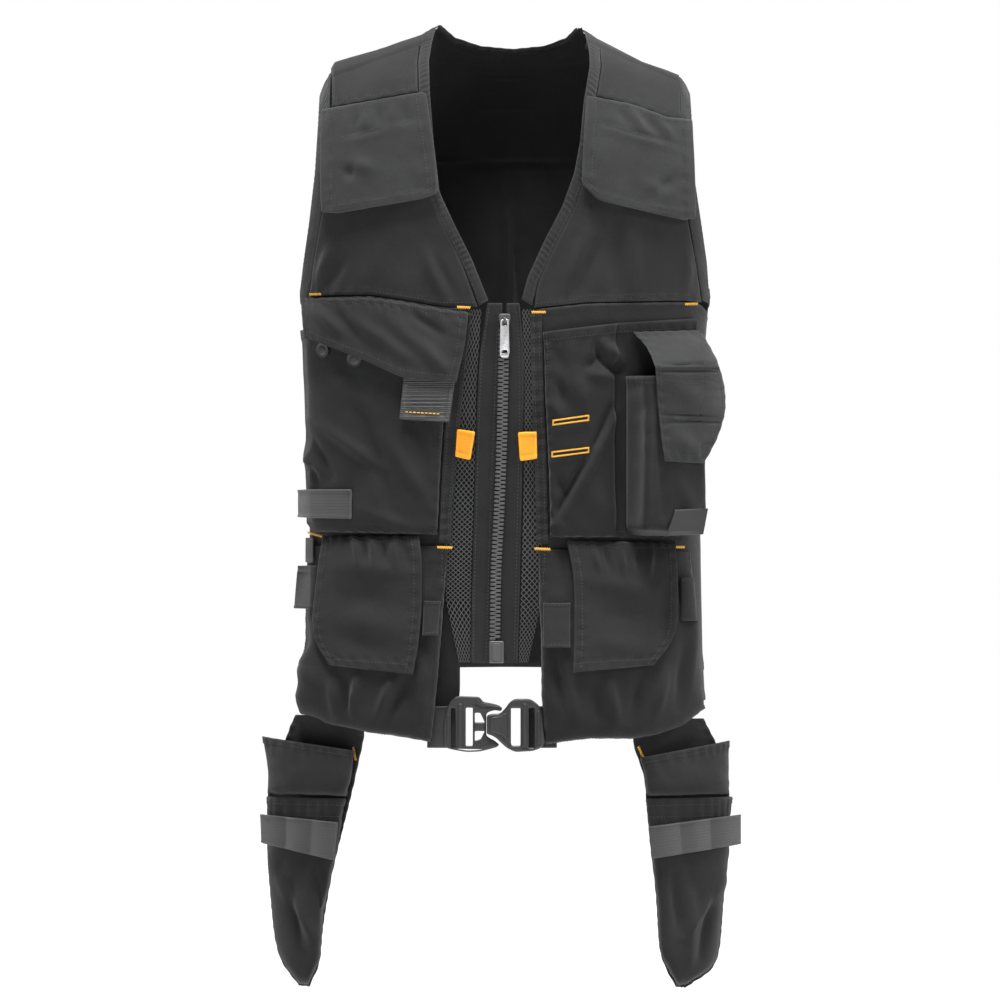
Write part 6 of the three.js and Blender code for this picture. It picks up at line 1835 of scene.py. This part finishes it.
class VEST_OT_left_chest(bpy.types.Operator):
    """Left chest pocket, its flap, studs, plaque and webbing loop"""

    bl_idname = "vest.left_chest"
    bl_label = "Left chest"

    def execute(self, context):
        sizes = context.scene.vest_sizes
        seams = []
        fold = waved(41, sizes.pocket_fold * 0.5, 0.05, FOLDS["chest_pocket_left"])
        hems = {"top": (0.01, 0.0085), "right": (0.0, 0.006), "left": (0.0,), "bottom": (0.0, 0.005)}
        seams += panel(
            "chest_pocket_left", POCKET_LEFT, "pocket", "cloth_dark", hems, fold, sizes.pucker,
            lift=pouch(ON_SHELL + 0.0005, CHEST_POCKET_DEPTH, 0.5), stops=pouch_stops(72), foot=True,
            pitch=0.0022,
        )[2]
        edge = CHEST_POCKET_TOP + 2 * LAYER + 0.0005
        flap_lift = flap(ON_SHELL + CLOTH + SEAM_GAP + 0.0002, edge)
        fold = waved(42, 0.0007, 0.06, FOLDS["chest_flap_left"])
        seams += panel(
            "chest_flap_left", POCKET_FLAP, "shell", "cloth_dark",
            {"bottom": (0.008, 0.0065), "right": (0.008, 0.0065), "left": (0.0, 0.006),
                "top": (0.006, 0.003, 0.0075)},
            fold, sizes.pucker, lift=flap_lift, pitch=0.002,
        )[2]
        for name, (across, down) in SNAPS_AT.items():
            stud(name + "_cap", across, down, CHEST_POCKET_TOP - 0.0015)
        ribs = lambda x, z: 0.00035 * np.sin(z / 0.00055)
        _, grid, _ = panel(
            "flap_plaque", PLAQUE, "rubber", "plastic",
            {"left": (0.004,), "right": (0.004,), "top": (0.003,), "bottom": (0.004,)}, ribs,
            lift=CHEST_POCKET_TOP + SEAM_GAP + 0.0007 + 0.002, wall=0.002, pitch=0.0009, soften=0,
            stitched=False,
        )
        stitches("plaque_line", [seam_path(grid, -1, "bottom", 0.0075, 0.1, 0.85)], finish("yellow_thread"),
                 length=0.0035, gap=0.0005, width=0.0012, height=0.0007)
        loop_lift = CHEST_POCKET_TOP + SEAM_GAP + WEBBING + 0.0006
        seams += panel(
            "webbing_loop", WEBBING_LOOP, "web", "webbing",
            {"top": (0.002,), "bottom": (0.002,), "right": (0.0, 0.003)},
            waved(43, 0.0006, 0.03), lift=loop_lift, wall=WEBBING, pitch=0.0016, soften=0,
        )[2]
        stitches("left_chest_stitches", seams, finish("dark_thread"), length=sizes.stitch)
        tacks("chest_tacks", [
            (-195, -249.5, -184, -249.5, 6.6), (-47, -263, -35, -263.5, 7.2), (27, -268, 40, -268, 4.6),
            (180, -259.5, 192, -259, 6.6), (-67, -502, -53, -502.5, 8.2), (30, -503.5, 44.5, -504, 8.2),
            (170, -502, 179, -502, 8.2), (-197, -487.5, -183, -491.5, 8.2),
        ])
        return {"FINISHED"}


class VEST_OT_right_chest(bpy.types.Operator):
    """Right chest pocket with its slots, and the deep phone pocket"""

    bl_idname = "vest.right_chest"
    bl_label = "Right chest"

    def execute(self, context):
        sizes = context.scene.vest_sizes
        seams = []

        def half_pouch(u, v):
            share = np.minimum(u / 0.34, 1)
            belly = 0.45 + 0.55 * np.sin(np.minimum(v * 1.4, 1) * math.pi / 2)
            bottom = np.maximum(1 - v**10, 0) ** (1 / 5)
            return ON_SHELL + 0.0008 + CHEST_POCKET_DEPTH * full(share, 4) * belly * bottom

        fold = waved(51, sizes.pocket_fold * 0.45, 0.045, FOLDS["chest_pocket_right"])
        stops = np.unique(np.concatenate([
            [0, 0.003, 0.007, 0.013, 0.02, 0.03], np.linspace(0.04, 0.34, 44), [0.325, 0.33, 0.335],
            np.linspace(0.35, 1, 44),
        ]))
        _, grid, p = panel(
            "chest_pocket_right", POCKET_RIGHT, "pocket", "cloth_dark",
            {"top": (0.01, 0.0085), "left": (0.0, 0.006), "bottom": (0.0, 0.006), "right": (0.0,)},
            fold, sizes.pucker, lift=half_pouch, stops=stops, foot=True, pitch=0.002,
        )
        seams += p
        tacks("slot_stitches", [
            (48, -376, 83, -371, 18.1), (48, -380.2, 83, -375.4, 18.1), (48, -376, 47.8, -380.4, 18.2),
            (83.2, -371, 83, -375.6, 18.2), (47, -407.5, 83, -403, 18.1), (47, -412, 83, -407.4, 18.1),
            (47, -407.5, 46.8, -412, 18.2), (83.2, -403, 83, -407.6, 18.2),
        ], reach=0.0021)

        last = len(PHONE_POCKET) - 1
        line_counts = (10, 16, 16, 10)
        stops = np.concatenate([np.linspace(k, k + 1, n, endpoint=False) for k,
            n in enumerate(line_counts)] + [[4]])
        downs = np.unique(np.concatenate([np.linspace(0, last, 64), [3.85, 3.93, 3.97]]))
        across = np.array([row[0::2] for row in PHONE_POCKET])
        depth = np.array([row[1::2] for row in PHONE_POCKET])
        lifts = np.full(across.shape, PHONE_FRONT)
        lifts[:, 0] = lifts[:, -1] = lifts[-1, :] = ON_POCKET + 0.0005

        def spread(values):
            mid = np.array([np.interp(stops, np.arange(5), row) for row in values])
            return np.array([np.interp(downs, np.arange(last + 1), mid[:, k]) for k in range(len(stops))]).T

        grid = drape(spread(across) * HALF_WIDTH, -spread(depth) * LENGTH, spread(lifts), -1)
        for _ in range(5):
            grid[:, 1:-1] = 0.25 * grid[:, :-2] + 0.5 * grid[:, 1:-1] + 0.25 * grid[:, 2:]
            grid[1:-1] = 0.25 * grid[:-2] + 0.5 * grid[1:-1] + 0.25 * grid[2:]
        pleats = waved(52, 0.0009, 0.045, FOLDS["phone_pocket"])
        grid = hemmed(grid, -1, {"top": (0.008, 0.0065)}, pleats, pucker=sizes.pucker)
        sewn("phone_pocket", grid, CLOTH, -1, finish("pocket"), "cloth_dark", ["phone_pocket"])
        seams.append(seam_path(grid, -1, "top", 0.0065))

        rise = [[0, 0], [0.17, 0.45], [0.34, 1], [1, 1]]
        front = PHONE_FRONT + LAYER + 0.0003
        lift = lambda u, v: ON_POCKET + (front - ON_POCKET) * table_value(rise, v, 1)
        fold = waved(53, 0.0007, 0.05, FOLDS["phone_flap"])
        _, grid, p = panel(
            "phone_flap", PHONE_FLAP, "grey", "cloth_grey",
            {"left": (0.006, 0.0045), "right": (0.006, 0.0045), "bottom": (0.008, 0.0065),
                "top": (0.006, 0.0045)},
            fold, sizes.pucker, lift=lift, pitch=0.0018,
        )
        seams += p
        for low, high in ((0.083, 0.089), (0.041, 0.0475)):
            seams += [seam_path(grid, -1, "bottom", low), seam_path(grid, -1, "bottom", high)]
        panel(
            "side_tag", SIDE_TAG, "plastic", "plastic",
            {"left": (0.002,), "right": (0.002,), "bottom": (0.002,)},
            None, lift=PHONE_FRONT + LAYER, pitch=0.0016, stitched=False,
        )
        stitches("right_chest_stitches", seams, finish("dark_thread"), length=sizes.stitch)
        return {"FINISHED"}


class VEST_OT_pouches(bpy.types.Operator):
    """The two lower pouches with their flaps, loops and strap"""

    bl_idname = "vest.pouches"
    bl_label = "Lower pouches"

    def execute(self, context):
        sizes = context.scene.vest_sizes
        seams = []
        for side, rows, flap_rows in (
            ("left", BAG_LEFT, BAG_FLAP_LEFT), ("right", BAG_RIGHT, BAG_FLAP_RIGHT),
        ):
            fold = waved(61, sizes.bag_fold * 0.5, 0.06, FOLDS["bag_" + side])
            hems = {"top": (0.0,), "left": (0.0, 0.006), "right": (0.0, 0.006), "bottom": (0.0, 0.006)}
            seams += panel(
                "bag_" + side, rows, "pocket", "cloth_dark", hems, fold, sizes.pucker,
                lift=pouch(ON_SHELL, BAG_DEPTH, 0.06), stops=pouch_stops(70), foot=True, pitch=0.0026,
            )[2]
            fold = waved(62, 0.0009, 0.06, FOLDS["bag_flap_" + side])
            hems = {"top": (0.006, 0.003, 0.0075), "left": (0.009, 0.0075), "right": (0.009, 0.0075),
                    "bottom": (0.01, 0.0085)}
            seams += panel(
                "bag_flap_" + side, flap_rows, "pocket", "cloth_dark", hems, fold, sizes.pucker,
                lift=flap(ON_SHELL + CLOTH + SEAM_GAP + 0.0002, BAG_FRONT + LAYER + 0.002), pitch=0.002,
            )[2]
        for name, rows, top, bottom in (
            ("bag_loop_left_outer", LOOP_LEFT_OUTER, 0.24, 0.57),
            ("bag_loop_left_inner", LOOP_LEFT_INNER, 0.5, 0.74),
            ("bag_loop_right_inner", LOOP_RIGHT_INNER, 0.5, 0.84),
            ("bag_loop_right_outer", LOOP_RIGHT_OUTER, 0.28, 0.6),
        ):
            lift = lambda u, v, a=top, b=bottom: (
                ON_SHELL + LAYER + BAG_DEPTH * (a + (b - a) * v) + LOOP_STAND * full(u, 2)
            )
            seams += panel(
                name, rows, "shell", "cloth_dark", {"top": (0.003, 0.002), "bottom": (0.003, 0.002)},
                waved(63, 0.0005, 0.03), lift=lift, pitch=0.0016, soften=0,
            )[2]
        panel(
            "strap_left", STRAP, "web", "webbing", {"left": (0.001,), "right": (0.001,)}, None,
            lift=lambda u, v: ON_SHELL + LAYER + BAG_DEPTH * 0.2 * v, pitch=0.001, soften=0, stitched=False,
        )
        panel(
            "inner_layer_left", INNER_LAYER, "lining", "cloth_dark",
            {"left": (0.004,), "right": (0.004, 0.003)},
            waved(64, 0.0005, 0.05), lift=BEHIND_SHELL - LAYER, pitch=0.003, stitched=False,
        )
        stitches("pouch_stitches", seams, finish("dark_thread"), length=sizes.stitch)
        return {"FINISHED"}


class VEST_OT_buckle(bpy.types.Operator):
    """Belt webbing and the fastened side-release buckle"""

    bl_idname = "vest.buckle"
    bl_label = "Belt and buckle"

    def execute(self, context):
        half = 0.02 / LENGTH
        for name, left, right, lift in (
            ("belt_left", -0.376, -0.239, lambda u, v: WEBBING + 0.0016 * u),
            ("belt_right", 0.083, 0.249, lambda u, v: WEBBING + 0 * u),
        ):
            rows = [[left, 0.9729 - half, right, 0.9729 - half], [left, 0.9729 + half, right, 0.9729 + half]]
            panel(name, rows, "belt", "webbing", {"top": (0.0015,), "bottom": (0.0015,)}, None,
                  lift=lift, wall=WEBBING, pitch=0.0012, soften=0, stitched=False)
        at = seat_matrix(*BUCKLE_AT, WEBBING + SEAM_GAP + 0.0004)
        size = BUCKLE_LENGTH
        scale = lambda pts: [(x * size, y * size) for x, y in pts]
        plug = moulded(
            "plug_frame", rounded(scale(PLUG_OUTLINE), 0.0035),
            [rounded(scale(h), 0.0012) for h in PLUG_HOLES],
            0.006, 0.0015, at,
        )
        bars = []
        for x, y1, y2, wide in ((-0.34, -0.245, 0.2, 0.05), (-0.46, -0.2, 0.1, 0.03)):
            bar = rounded(scale([(x - wide / 2, y1), (x + wide / 2, y1), (x + wide / 2, y2),
                (x - wide / 2, y2)]), 0.002)
            bars.append(moulded("plug_bar", bar, [], 0.003, 0.001, at @ Matrix.Translation((0, 0, 0.0042))))
        arm = rounded(scale([(-0.2, 0.2), (-0.12, 0.17), (-0.02, 0.165), (0.04, 0.15), (0.03, 0.17),
            (-0.06, 0.19),
                             (-0.13, 0.21), (-0.17, 0.245)]), 0.0015)
        bars.append(moulded("plug_arm", arm, [], 0.0026, 0.0008, at @ Matrix.Translation((0, 0, 0.0045))))
        plug = join("buckle_plug_shaped", [plug, *bars])
        smooth(plug, 40)
        settle(plug, finish("plastic"), "plastic", "buckle_plug")
        socket = moulded(
            "socket_frame", rounded(scale(SOCKET_OUTLINE), 0.0035),
            [rounded(scale(h), 0.0012) for h in SOCKET_HOLES],
            0.0095, 0.002, at,
        )
        crown = rounded(scale([(-0.05, -0.08), (0.05, -0.1), (0.12, -0.16), (0.12, 0.12), (0.05, 0.075),
            (-0.05, 0.065)]),
                        0.004)
        lifted = at @ Matrix.Translation((0, 0, 0.0088))
        raised = [moulded("socket_crown", crown, [], 0.0026, 0.0012, lifted)]
        for x, y1, y2, wide in ((0.295, -0.235, 0.2, 0.045), (0.43, -0.2, 0.13, 0.03)):
            bar = rounded(scale([(x - wide / 2, y1), (x + wide / 2, y1), (x + wide / 2, y2),
                (x - wide / 2, y2)]), 0.002)
            raised.append(moulded("socket_bar", bar, [], 0.0024, 0.001, lifted))
        socket = join("buckle_socket_shaped", [socket, *raised])
        smooth(socket, 40)
        settle(socket, finish("plastic"), "plastic", "buckle_socket")
        return {"FINISHED"}


class VEST_OT_holsters(bpy.types.Operator):
    """The two tool holsters at the hips"""

    bl_idname = "vest.holsters"
    bl_label = "Holsters"

    def execute(self, context):
        sizes = context.scene.vest_sizes
        seams = []
        deep = pouch(CLOTH + LAYER, HOLSTER_DEPTH, 0.8)
        loop_top = CLOTH + LAYER + HOLSTER_DEPTH * 0.87 + SEAM_GAP + WEBBING + 0.0003
        for side, sign, back, upper, lower, loops in (
            ("left", -1, HOLSTER_BACK_LEFT, HOLSTER_UPPER_LEFT, HOLSTER_LOWER_LEFT, HOLSTER_LOOPS_LEFT),
            ("right", 1, HOLSTER_BACK_RIGHT, HOLSTER_UPPER_RIGHT, HOLSTER_LOWER_RIGHT, HOLSTER_LOOPS_RIGHT),
        ):
            place = holster_place(sign)
            seams += panel(
                "holster_back_" + side, back, "grey", "cloth_dark",
                {"left": (0.005, 0.0035), "right": (0.005, 0.0035)},
                waved(71, 0.0004, 0.05), sizes.pucker, lift=CLOTH, place=place, pitch=0.0026,
            )[2]
            seams += panel(
                "holster_pocket_upper_" + side, upper, "pocket", "cloth_dark",
                {"top": (0.007, 0.0055), "bottom": (0.0, 0.005)},
                waved(72, 0.0008, 0.03), sizes.pucker * 1.6,
                lift=deep, place=place, stops=pouch_stops(48), foot=True, pitch=0.0016,
            )[2]
            seams += panel(
                "holster_pocket_lower_" + side, lower, "pocket", "cloth_dark",
                {"top": (0.008, 0.0065, 0.018), "left": (0.0, 0.006), "right": (0.0, 0.006),
                    "bottom": (0.0, 0.006)},
                waved(73, 0.001, 0.05, FOLDS["holster_" + side]), sizes.pucker,
                lift=deep, place=place, stops=pouch_stops(56), foot=True, pitch=0.0022,
            )[2]
            lift = lambda u, v: loop_top + LOOP_STAND * np.abs(np.sin(u * math.pi * 3))
            panel(
                "holster_loops_" + side, loops, "web", "webbing",
                {"top": (0.0015, 0.0012), "bottom": (0.0015, 0.0012)},
                None, lift=lift, place=place, wall=WEBBING, pitch=0.0016, soften=0, stitched=False,
            )
        tacks("holster_tacks", [(-151.5, -702, -149, -714, CLOTH * 1000 + 1),
            (133, -701, 139, -714, CLOTH * 1000 + 1)])
        stitches("holster_stitches", seams, finish("dark_thread"), length=sizes.stitch)
        return {"FINISHED"}


OPERATORS = (
    VEST_OT_stage, VEST_OT_shell, VEST_OT_bindings, VEST_OT_shoulder_flaps, VEST_OT_opening, VEST_OT_zip,
    VEST_OT_left_chest, VEST_OT_right_chest, VEST_OT_pouches, VEST_OT_buckle, VEST_OT_holsters,
)


class VEST_PT_panel(bpy.types.Panel):
    """Sizes, colours and steps of the vest"""

    bl_idname = "VEST_PT_panel"
    bl_label = "Utility work vest"
    bl_space_type = "VIEW_3D"
    bl_region_type = "UI"
    bl_category = "Vest"

    def draw(self, context):
        for owner in (context.scene.vest_sizes, context.scene.vest_colours):
            for key in owner.bl_rna.properties.keys():
                if key not in ("rna_type", "name"):
                    self.layout.prop(owner, key)
        for step in OPERATORS:
            self.layout.operator(step.bl_idname)


CLASSES = (VestColours, VestSizes, *OPERATORS, VEST_PT_panel)


def register():
    for kind in CLASSES:
        bpy.utils.register_class(kind)
    bpy.types.Scene.vest_colours = bpy.props.PointerProperty(type=VestColours)
    bpy.types.Scene.vest_sizes = bpy.props.PointerProperty(type=VestSizes)


def unregister():
    del bpy.types.Scene.vest_sizes
    del bpy.types.Scene.vest_colours
    for kind in reversed(CLASSES):
        bpy.utils.unregister_class(kind)


def main():
    register()
    for step in OPERATORS:
        group, name = step.bl_idname.split(".")
        getattr(getattr(bpy.ops, group), name)()


if __name__ == "__main__":
    main()
